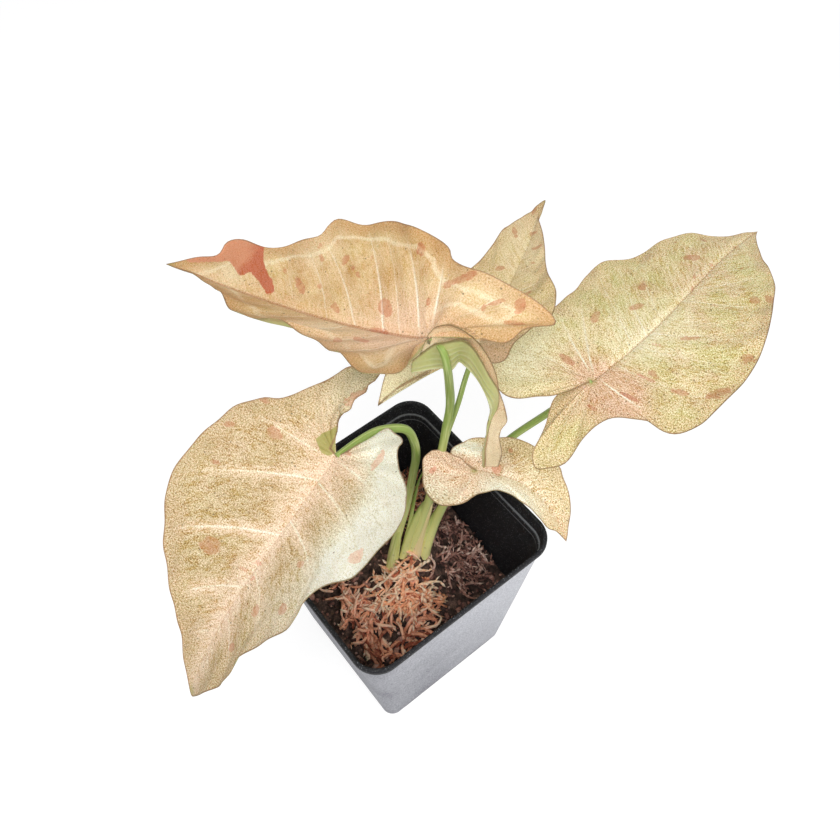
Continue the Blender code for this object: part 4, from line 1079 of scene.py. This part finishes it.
def potPaint():
    colour = potColours
    paint = Paint("pot plastic", Specular_IOR_Level=0.3)
    at = paint.place("potAt")
    across, height = paint.part(at, 0), paint.part(at, 2)
    grain = paint.noise(at, 1.4, 3, 0.7)
    soft = paint.noise(at, 0.05, 2)
    # painted reflection, painted light and painted shade: the outside wall's grey runs from dark low down
    # towards -x to light high up towards +x
    outer = paint.mix((height * 0.6 + across).between(-20.0, 85.0), colour["low"], colour["high"])
    outer = paint.mix(soft.between(0.3, 0.7) * 0.3, outer, colour["cloud"])
    outer = paint.grade(0.55, outer, grain, 0.15, (0.35, 0.35, 0.35), (0.65, 0.65, 0.65))
    black = paint.mix(grain.between(0.45, 0.7), colour["black"], colour["worn"])
    speck = 1 - paint.cells(at, 0.9).between(0.1, 0.22)
    black = paint.mix(speck * 0.5, black, colour["scratch"])
    for level in pot["lineLevels"]:
        line = (1 - abs(height - level).between(0.12, 0.34)) * (0.4 + grain)
        black = paint.mix(line * 0.5, black, colour["scratch"])
    side = 1 - abs(across).least(abs(paint.part(at, 1))).between(pot["baseShadeReach"] - 2, pot["baseShadeReach"])
    outer = paint.mix((1 - height.between(1.6, 2.4)) * side, outer, colour["base"])  # painted shadow: a dark band along the base in the middle of each side, where a shaded slot lies under the pot
    # the plastic's own black on the lip and inside, the painted reflection grey on the outside wall
    both = paint.mix(paint.value("inside"), outer, black)
    return paint.finish(both, 0.5 + 0.3 * grain, grain, depth=0.12, strength=0.5)


def addPot():
    _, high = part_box("nursery_pot")
    half, height = high.x / mm, high.z / mm
    base = half * pot["baseShare"]
    rim = height - pot["lipHeight"]
    ledge = height - pot["ledgeDrop"]
    lip = half - pot["wall"] - 0.3

    def outer(z):
        return base + (half - pot["lipStep"] - base) * z / height

    def inner(z):
        return outer(z) - pot["wall"]

    # half width, height and 1 where the plastic's own black shows on the lip and inside, 0 on the outside
    # wall, whose grey is a painted reflection with painted light and shade, from the base up the outside and
    # down the inside
    profile = [(outer(0) - 1.2, 0.0, 0), (outer(0) - 0.3, 0.15, 0), (outer(1.0), 1.0, 0)]
    profile += [(outer(z), z, 0) for z in np.linspace(4, rim - 0.2, 14)]
    profile += [(outer(rim) + 0.15, rim, 0.4), (half - 0.25, rim + 0.2, 1), (half, rim + 0.6, 1)]
    profile += [(half, height - 0.8, 1), (half - 0.1, height - 0.3, 1), (half - 0.4, height, 1)]
    profile += [(lip + 0.4, height, 1), (lip + 0.1, height - 0.3, 1), (lip, height - 0.8, 1)]
    profile += [(lip - 0.2, ledge + 0.3, 1), (lip - 0.4, ledge, 1)]
    profile += [(inner(ledge) + 0.1, ledge - 0.4, 1), (inner(ledge), ledge - 1.0, 1)]
    profile += [(inner(z), z, 1) for z in np.linspace(ledge - 4, 6, 12)]
    profile += [(inner(pot["floor"]) - 1.0, pot["floor"], 1)]
    rings, inside = [], []
    for reach, z, isInside in profile:
        radius = pot["cornerBase"] + (pot["cornerTop"] - pot["cornerBase"]) * z / height
        rings.append(squareRing(reach, radius - max(0, outer(z) - reach), z))
        inside += [float(isInside)] * len(rings[0])
    points = np.concatenate(rings)
    faces, fields = ringFaces(len(rings), len(rings[0])), {"potAt": points, "inside": inside}
    piece = makePiece("pot", points, faces, (potPaint(),), fields, ("nursery_pot",))
    for x in (-1, 1):
        for y in (-1, 1):
            cutHole(piece, x * pot["drainOffset"], y * pot["drainOffset"])
    piece.data.set_sharp_from_angle(angle=math.radians(pot["sharpAngle"]))


def cutHole(piece, x, y):
    bm = bmesh.new()
    radius = pot["drainRadius"] * mm
    bmesh.ops.create_cone(bm, cap_ends=True, segments=32, radius1=radius, radius2=radius, depth=6 * mm)
    bmesh.ops.translate(bm, verts=bm.verts, vec=(x * mm, y * mm, 0.5 * mm))
    mesh = bpy.data.meshes.new("drain cutter")
    bm.to_mesh(mesh)
    bm.free()
    cutter = addObject("drain cutter", mesh)
    boolean = piece.modifiers.new("drain", "BOOLEAN")
    boolean.operation = "DIFFERENCE"
    boolean.object = cutter
    bpy.context.view_layer.update()
    finished = bpy.data.meshes.new_from_object(piece.evaluated_get(bpy.context.evaluated_depsgraph_get()))
    piece.modifiers.clear()
    piece.data = finished
    bpy.data.objects.remove(cutter)


addPot()
print("pot made")


# Potting mix: a crumbly surface with loose crumbs, coir and moss on it. The surface is a grid that the wall
# holds in. footShare and foot are how wide and how high its bottom is, and mossLevel is how far above the
# edge the wall's width is taken for the moss.
soil = {
    "edge": 52.0, "crown": (6.0, -1.0), "mound": 12.0, "moundReach": 17.0, "backRise": 7.0, "sideFall": 5.0,
    "rough": 1.5, "half": 37.5, "cells": 110, "footShare": 0.82, "foot": 2.2, "wallGap": 0.2,
    "mossLevel": 3.0,
}
rng = np.random.default_rng(5)


def soilHeight(x, y):  # highest round the crown, rising to the back and falling to the right
    mound = math.exp(-((math.dist((x, y), soil["crown"]) / soil["moundReach"]) ** 2))
    back = soil["backRise"] * min(1, max(0, (x + y) / 60))
    fall = soil["sideFall"] * min(1, max(0, (x - y - 20) / 40))
    rough = soil["rough"] * noise.noise(Vector((x, y, 0)) * 0.11)
    return soil["edge"] + soil["mound"] * mound + back - fall + rough


def crumble(x, y):  # the fine relief of the surface
    at = Vector((x, y, 0))
    coarse = noise.fractal(at * 0.25, 0.9, 2.1, 4) * 1.3
    return coarse + 0.9 * abs(noise.noise(at * 0.9)) - 0.6


def peatPaint():
    paint = Paint("dark peat", Specular_IOR_Level=0.25)
    at = paint.place("soilAt")
    clump = paint.noise(at, 0.35, 4, 0.65)
    fine = paint.noise(at, 1.8, 3, 0.7)
    dark, middle, light = (0.02, 0.015, 0.013), (0.085, 0.052, 0.042), (0.26, 0.155, 0.12)
    colour = paint.ramp(clump, (0.3, dark), (0.5, middle), (0.7, light))
    colour = paint.mix(fine.between(0.55, 0.8) * 0.5, colour, (0.22, 0.15, 0.12))
    return paint.finish(colour, 0.9, clump + fine, depth=0.6)


# dark, middle and light tones of the moss and the coir
fibreColours = {
    "orange moss": ((0.42, 0.08, 0.04), (1.0, 0.48, 0.27), (1.0, 0.82, 0.62)),
    "tan moss": ((0.30, 0.08, 0.045), (1.0, 0.46, 0.29), (1.0, 0.80, 0.62)),
    "coir": ((0.06, 0.027, 0.023), (0.42, 0.21, 0.165), (0.92, 0.68, 0.58)),
}


def fibrePaint(name, dark, middle, light):
    paint = Paint(name, Specular_IOR_Level=0.25, Subsurface_Weight=0.05, Subsurface_Scale=0.001)
    at = paint.place("soilAt")
    shade = paint.value("tone") + 0.7 * (paint.noise(at, 0.7, 3) - 0.5)
    colour = paint.ramp(shade, (0.05, dark), (0.45, middle), (0.95, light))
    return paint.finish(colour, 0.8, paint.noise(at, 2.5, 2), depth=0.2)


def innerReach(z, margin):  # how far out things may lie inside the pot at a height
    return pot["innerBase"] + pot["innerFlare"] * z / pot["height"] - pot["wall"] - margin


def keepInside(points, margin):  # draws points that lie beyond the pot's inner wall back onto it
    height = points[:, 2] / pot["height"]
    radius = pot["cornerBase"] + (pot["cornerTop"] - pot["cornerBase"]) * height - pot["wall"]
    core = (innerReach(points[:, 2], margin) - radius)[:, None]
    nearest = np.clip(points[:, :2], -core, core)
    off = points[:, :2] - nearest
    length = np.linalg.norm(off, axis=1)
    points[:, :2] = nearest + off * np.minimum(1, radius / np.maximum(length, 1e-6))[:, None]


def addPeat():
    cells = soil["cells"]
    line = np.linspace(-soil["half"], soil["half"], cells)
    points = [(x, y, soilHeight(x, y) + crumble(x, y)) for y in line for x in line]
    faces = gridFaces(cells, cells)
    edge = gridBorder(cells, cells)  # a skirt from here down to the floor closes the mix
    start, count = len(points), len(edge)
    share, foot = soil["footShare"], soil["foot"]
    points += [(points[v][0] * share, points[v][1] * share, foot) for v in edge]
    for k, v in enumerate(edge):
        after = (k + 1) % count
        faces.append([v, start + k, start + after, edge[after]])
    faces.append(list(range(start, start + count))[::-1])
    points = np.array(points)
    keepInside(points, soil["wallGap"])
    makePiece("peat", points, faces, (peatPaint(),), {"soilAt": points}, ("potting_mix",))


def addJoined(name, parts, material, nodes=()):  # one piece from many small meshes, each with its tone
    points, faces, tones, start = [], [], [], 0
    for some, shape, tone in parts:
        points.append(some)
        faces += [[v + start for v in face] for face in shape]
        tones.append(np.full(len(some), tone) if np.isscalar(tone) else tone)
        start += len(some)
    points = np.concatenate(points)
    fields = {"soilAt": points, "tone": np.concatenate(tones)}
    makePiece(name, points, faces, (material,), fields, nodes)


def crumb(centre, size):  # a small irregular lump
    bm = bmesh.new()
    bmesh.ops.create_icosphere(bm, subdivisions=1, radius=1)
    stretch = rng.uniform(0.5, 1.2, 3) * size
    turn = Matrix.Rotation(rng.uniform(0, 6.28), 3, Vector(rng.normal(size=3)))
    points = []
    for vert in bm.verts:
        bumped = vert.co * rng.uniform(0.7, 1.25)
        points.append(tuple(turn @ Vector(bumped[k] * stretch[k] for k in range(3)) + Vector(centre)))
    faces = [[v.index for v in face.verts] for face in bm.faces]
    bm.free()
    return np.array(points), faces


def insidePot(x, y, z, margin):
    core = innerReach(z, margin) - pot["innerCorner"]
    return math.hypot(max(0, abs(x) - core), max(0, abs(y) - core)) < pot["innerCorner"]


# how near the wall a strand may start and come, how high above the mix it lies and may rise, and how fast
# it sinks back
strandMake = {
    "steps": 9, "sides": 5, "startGap": 3.5, "wallGap": 2.5, "lie": 0.4, "rise": 1.5, "sink": 0.3,
}


def strandLine(start, heading, length, curl):  # a curly line that stays on the mix
    make, steps = strandMake, strandMake["steps"]
    line = [np.array(start, float)]
    ahead = unit(np.array(heading, float))
    bend = rng.normal(size=3) * curl
    for _ in range(steps - 1):
        bend = 0.7 * bend + 0.3 * rng.normal(size=3) * curl
        ahead = unit(ahead + bend / steps)
        point = line[-1] + ahead * length / (steps - 1)
        if not insidePot(*point, make["wallGap"]):
            ahead[:2] = -0.6 * ahead[:2]
            point = line[-1] + ahead * length / (steps - 1)
        ground = soilHeight(point[0], point[1]) + make["lie"]
        if point[2] < ground:
            point[2] = ground
            ahead[2] = max(ahead[2], 0.1)
        if point[2] > ground + make["rise"]:
            point[2] -= make["sink"] * (point[2] - ground - make["rise"])
        line.append(point)
    return np.array(line)


def strand(line, radius, tone):  # thin at both ends, and lighter towards its tip as a painted highlight
    t = np.linspace(0, 1, len(line))
    radii = radius * (0.25 + 0.75 * np.sin(math.pi * np.clip(0.12 + 0.86 * t, 0, 1)) ** 0.6)
    points, faces, _, along = sweepTube(line, radii, strandMake["sides"], len(line))
    return points, faces, tone + 0.25 * (along / along.max() - 0.4)


def leaflet(base, ahead, length, width, tone):  # one small pointed moss leaf, plump in the middle
    side = unit(np.cross(ahead, rng.normal(size=3)))
    thick = np.cross(side, ahead)
    points = [base]
    for share, broad, deep in ((0.3, 0.85, 0.35), (0.6, 1.0, 0.4)):  # two rings of four points
        middle = base + ahead * length * share + thick * length * 0.12 * share
        for quarter in range(4):
            turn = math.pi / 2 * quarter
            offset = side * broad * math.cos(turn) + thick * deep * math.sin(turn)
            points.append(middle + width / 2 * offset)
    points.append(base + ahead * length + thick * length * 0.05)
    faces = [[0, 1 + (k + 1) % 4, 1 + k] for k in range(4)]
    faces += [[1 + k, 1 + (k + 1) % 4, 5 + (k + 1) % 4, 5 + k] for k in range(4)]
    faces += [[5 + k, 5 + (k + 1) % 4, 9] for k in range(4)]
    # darker at the base and lighter at the tip, the light tip a painted highlight
    return np.array(points), faces, tone + np.array([-0.2, *[-0.1] * 4, *[0.05] * 4, 0.18])


def sprig(line, leaf, tone):  # a strand set with leaflets
    parts = [strand(line, leaf["stem"], tone - 0.1)]
    count = max(3, int(np.linalg.norm(np.diff(line, axis=0), axis=1).sum() / leaf["every"]))
    for k in range(count):
        share = (k + rng.uniform(0.2, 0.8)) / count * (len(line) - 1)
        i = min(int(share), len(line) - 2)
        step = line[i + 1] - line[i]
        base = line[i] + step * (share - i)
        ahead = unit(unit(step) + leaf["spread"] * rng.normal(size=3) + np.array([0, 0, 0.25]))
        size = rng.uniform(0.6, 1.25)
        tint = tone + rng.normal() * 0.12
        parts.append(leaflet(base, ahead, leaf["long"] * size, leaf["wide"] * size, tint))
    return parts


mossRuns = {
    "moss_by_crown": {
        "along": ((6, -3), (1, -3), (-4, -7), (-6, -11.5), (-3, -15.5), (1, -17)), "spread": 2.4,
        "count": 62, "length": 11,
        "leaf": {"stem": 0.7, "every": 1.6, "long": 3.2, "wide": 1.5, "spread": 0.55}, "height": 5.0,
        "lift": 0.6, "tones": (0.25, 0.9), "curl": 3.5, "nodes": ("moss_crown",),
        "paint": "orange moss",
    },
    "moss_arm": {
        "along": ((-4, -1), (-9, -3), (-15, -5)), "spread": 1.8, "count": 26, "length": 9,
        "leaf": {"stem": 0.6, "every": 1.8, "long": 3.2, "wide": 1.0, "spread": 0.4}, "height": 2.5,
        "lift": 0.6, "tones": (0.3, 1.0), "curl": 1.6, "nodes": (), "paint": "orange moss",
    },
    "moss_front_strands": {
        "along": (
            (-11.5, -8), (-19, -8.5), (-26, -13), (-29, -20), (-26, -27), (-17, -26.5), (-8.5, -24),
            (-2, -20),
        ),
        "spread": 1.8, "count": 72, "length": 15,
        "leaf": {"stem": 0.75, "every": 2.8, "long": 2.6, "wide": 1.1, "spread": 0.6}, "height": 3.6,
        "lift": 0.4, "tones": (0.1, 0.85), "curl": 4.2, "nodes": ("moss_front",),
        "paint": "tan moss",
    },
    "moss_left_strands": {
        "along": ((-22, 12), (-26, 5), (-28.5, -4), (-22, -1)), "spread": 2.8, "count": 46, "length": 12,
        "leaf": {"stem": 0.65, "every": 2.8, "long": 2.6, "wide": 1.0, "spread": 0.6}, "height": 2.2,
        "lift": 0.4, "tones": (0.2, 0.9), "curl": 3.5, "nodes": ("moss_left",),
        "paint": "tan moss",
    },
    "moss_back_strands": {
        "along": ((14, 22), (24, 28), (30, 30)), "spread": 3.5, "count": 90, "length": 8,
        "leaf": {"stem": 0.4, "every": 1.1, "long": 2.0, "wide": 0.7, "spread": 0.5}, "height": 2.5,
        "lift": 0.5, "tones": (0.1, 0.6), "curl": 1.5, "nodes": ("moss_back",),
        "paint": "tan moss",
    },
    "coir_strands": {
        "along": ((14, -9), (20, -15), (30, -16), (33, -8), (36, 0), (30, 8), (18, 4)), "spread": 4.0,
        "count": 130, "length": 11,
        "leaf": {"stem": 0.55, "every": 1.6, "long": 3.2, "wide": 1.1, "spread": 0.5}, "height": 3.0,
        "lift": 0.4, "tones": (0.0, 0.8), "curl": 3.0, "nodes": ("coir_chips",),
        "paint": "coir",
    },
}


def alongRun(run, steps=60):  # a place on a run's line, a little to one side of it
    line, _ = evenAlong(np.array(run["along"], float), steps)
    k = rng.integers(0, steps - 1)
    x, y = line[k] + rng.normal(size=2) * run["spread"]
    return x, y, line[k + 1] - line[k]


def addMoss(name, run, material):
    parts, made = [], 0
    while made < run["count"]:
        x, y, ahead = alongRun(run)
        if not insidePot(x, y, soil["edge"] + soil["mossLevel"], strandMake["startGap"]):
            continue
        z = soilHeight(x, y) + rng.uniform(0.2, 1.0) * run["height"]
        heading = (*(unit(ahead) + rng.normal(size=2) * 0.9), rng.uniform(-0.2, 1) * run["lift"])
        line = strandLine((x, y, z), heading, run["length"] * rng.uniform(0.6, 1.2), run["curl"])
        parts += sprig(line, run["leaf"], rng.uniform(*run["tones"]))
        made += 1
    addJoined(name, parts, material, run["nodes"])


mossHead = {
    "at": (2.0, -17.5), "height": 4.5, "leaves": 34, "long": 4.2, "wide": 1.6, "facing": (0.35, -0.35, 0.85),
}


def addMossHead(material):  # the tuft at the end of the orange strands
    head = mossHead
    centre = np.array([*head["at"], soilHeight(*head["at"]) + head["height"]])
    facing = unit(np.array(head["facing"]))
    parts = []
    for k in range(head["leaves"]):
        share = math.sqrt((k + 0.5) / head["leaves"])
        ahead = unit(facing * (1.15 - share) + share * 1.1 * rng.normal(size=3) / 1.7)
        size = rng.uniform(0.75, 1.15)
        base = centre - facing * 1.5 * share
        tone = rng.uniform(0.55, 0.85)
        parts.append(leaflet(base, ahead, head["long"] * size, head["wide"] * size, tone))
    addJoined("moss_head", parts, material)


crumbMake = {
    "count": 900, "reach": 38, "small": (0.35, 1.3), "large": (1.2, 2.4), "largeShare": 0.1, "wallGap": 1.6,
    "lie": 0.2,
}


def addCrumbs(material):
    make, crumbs = crumbMake, []
    while len(crumbs) < make["count"]:
        x, y = rng.uniform(-make["reach"], make["reach"], 2)
        z = soilHeight(x, y) + crumble(x, y)
        if insidePot(x, y, z, make["wallGap"]):
            size = rng.uniform(*make["small"] if rng.uniform() > make["largeShare"] else make["large"])
            crumbs.append((*crumb((x, y, z + make["lie"]), size), rng.uniform(0, 0.6)))
    addJoined("peat_crumbs", crumbs, material)


addPeat()
fibrePaints = {name: fibrePaint(name, *tones) for name, tones in fibreColours.items()}
addCrumbs(fibrePaints["coir"])
for name, run in mossRuns.items():
    addMoss(name, run, fibrePaints[run["paint"]])
addMossHead(fibrePaints["orange moss"])
print("potting mix, moss and fibres made")


# Camera, floor and light: the camera's angles are in degrees, and its distance and target in mm.
camera = {
    "turn": -36.613, "lift": 55.774, "roll": -2.11, "distance": 500.492, "lens": 38.784,
    "target": (78.496, 86.609, 0),
}


def addCamera():
    data = bpy.data.cameras.new("camera")
    data.lens = camera["lens"]
    data.sensor_width = 36
    data.clip_start = 0.01
    piece = addObject("camera", data)
    turn, lift = math.radians(camera["turn"]), math.radians(camera["lift"])
    back = Vector((math.sin(turn) * math.cos(lift), -math.cos(turn) * math.cos(lift), math.sin(lift)))
    aim = Matrix.Rotation(turn, 4, "Z") @ Matrix.Rotation(math.pi / 2 - lift, 4, "X")
    place = Vector(camera["target"]) * mm + back * camera["distance"] * mm
    roll = Matrix.Rotation(math.radians(camera["roll"]), 4, "Z")
    piece.matrix_world = Matrix.Translation(place) @ aim @ roll
    bpy.context.scene.camera = piece


def seenWhite(paint, seen, unseen):  # one colour to the camera and in reflections, another to the light
    rays = paint.add("ShaderNodeLightPath", output="Is Camera Ray")
    for other in ("Is Glossy Ray", "Is Transmission Ray"):
        rays = rays.most(paint.add("ShaderNodeLightPath", output=other))
    return paint.mix(rays, unseen, seen)


# half width in m and depth under the pot in mm, then what the camera sees and what the light meets
floorMake = {
    "half": 6, "drop": 0.2, "glowSeen": (0.79, 0.79, 0.79), "glowLit": (0, 0, 0),
    "greySeen": (0.32, 0.32, 0.32), "greyLit": (0.8, 0.8, 0.8),
}


def addFloor():
    paint = Paint("white floor", Roughness=0.9, Specular_IOR_Level=0.0, Emission_Strength=1.0)
    glow = seenWhite(paint, floorMake["glowSeen"], floorMake["glowLit"])
    paint.feed(paint.shader.inputs["Emission Color"], glow)
    grey = seenWhite(paint, floorMake["greySeen"], floorMake["greyLit"])
    paint.feed(paint.shader.inputs["Base Color"], grey)
    half = floorMake["half"]
    mesh = bpy.data.meshes.new("floor")
    corners = [(-half, -half, 0), (half, -half, 0), (half, half, 0), (-half, half, 0)]
    mesh.from_pydata(corners, [], [(0, 1, 2, 3)])
    mesh.materials.append(paint.material)
    floor = addObject("floor", mesh)
    floor.location.z = -floorMake["drop"] * mm


roomLight = {"lit": (0.5, 0.5, 0.51, 1), "seen": (1, 1, 1, 1)}  # what the plant gets, what the camera sees


def addWorld():
    world = bpy.data.worlds.new("soft room")
    world.use_nodes = True
    bpy.context.scene.world = world
    tree = world.node_tree
    background = tree.nodes["Background"]
    rays = tree.nodes.new("ShaderNodeLightPath")
    mix = tree.nodes.new("ShaderNodeMix")
    mix.data_type = "RGBA"
    mix.inputs[6].default_value = roomLight["lit"]
    mix.inputs[7].default_value = roomLight["seen"]
    tree.links.new(rays.outputs["Is Camera Ray"], mix.inputs[0])
    tree.links.new(mix.outputs[2], background.inputs["Color"])


lamps = {
    "key": {"from": (-260, -240, 720), "at": (20, 0, 110), "size": 420, "watts": 3.0},
    "fill": {"from": (150, -400, 520), "at": (20, 0, 110), "size": 260, "watts": 1.1},
}


def addLamp(name, lamp):
    data = bpy.data.lights.new(name, "AREA")
    data.size = lamp["size"] * mm
    data.energy = lamp["watts"]
    piece = addObject(name, data)
    piece.location = Vector(lamp["from"]) * mm
    aim = Vector(lamp["at"]) * mm - piece.location
    piece.rotation_euler = aim.to_track_quat("-Z", "Y").to_euler()


addCamera()
addFloor()
addWorld()
for name, lamp in lamps.items():
    addLamp(name, lamp)
bpy.context.scene.view_settings.view_transform = "Standard"

bpy.context.view_layer.update()
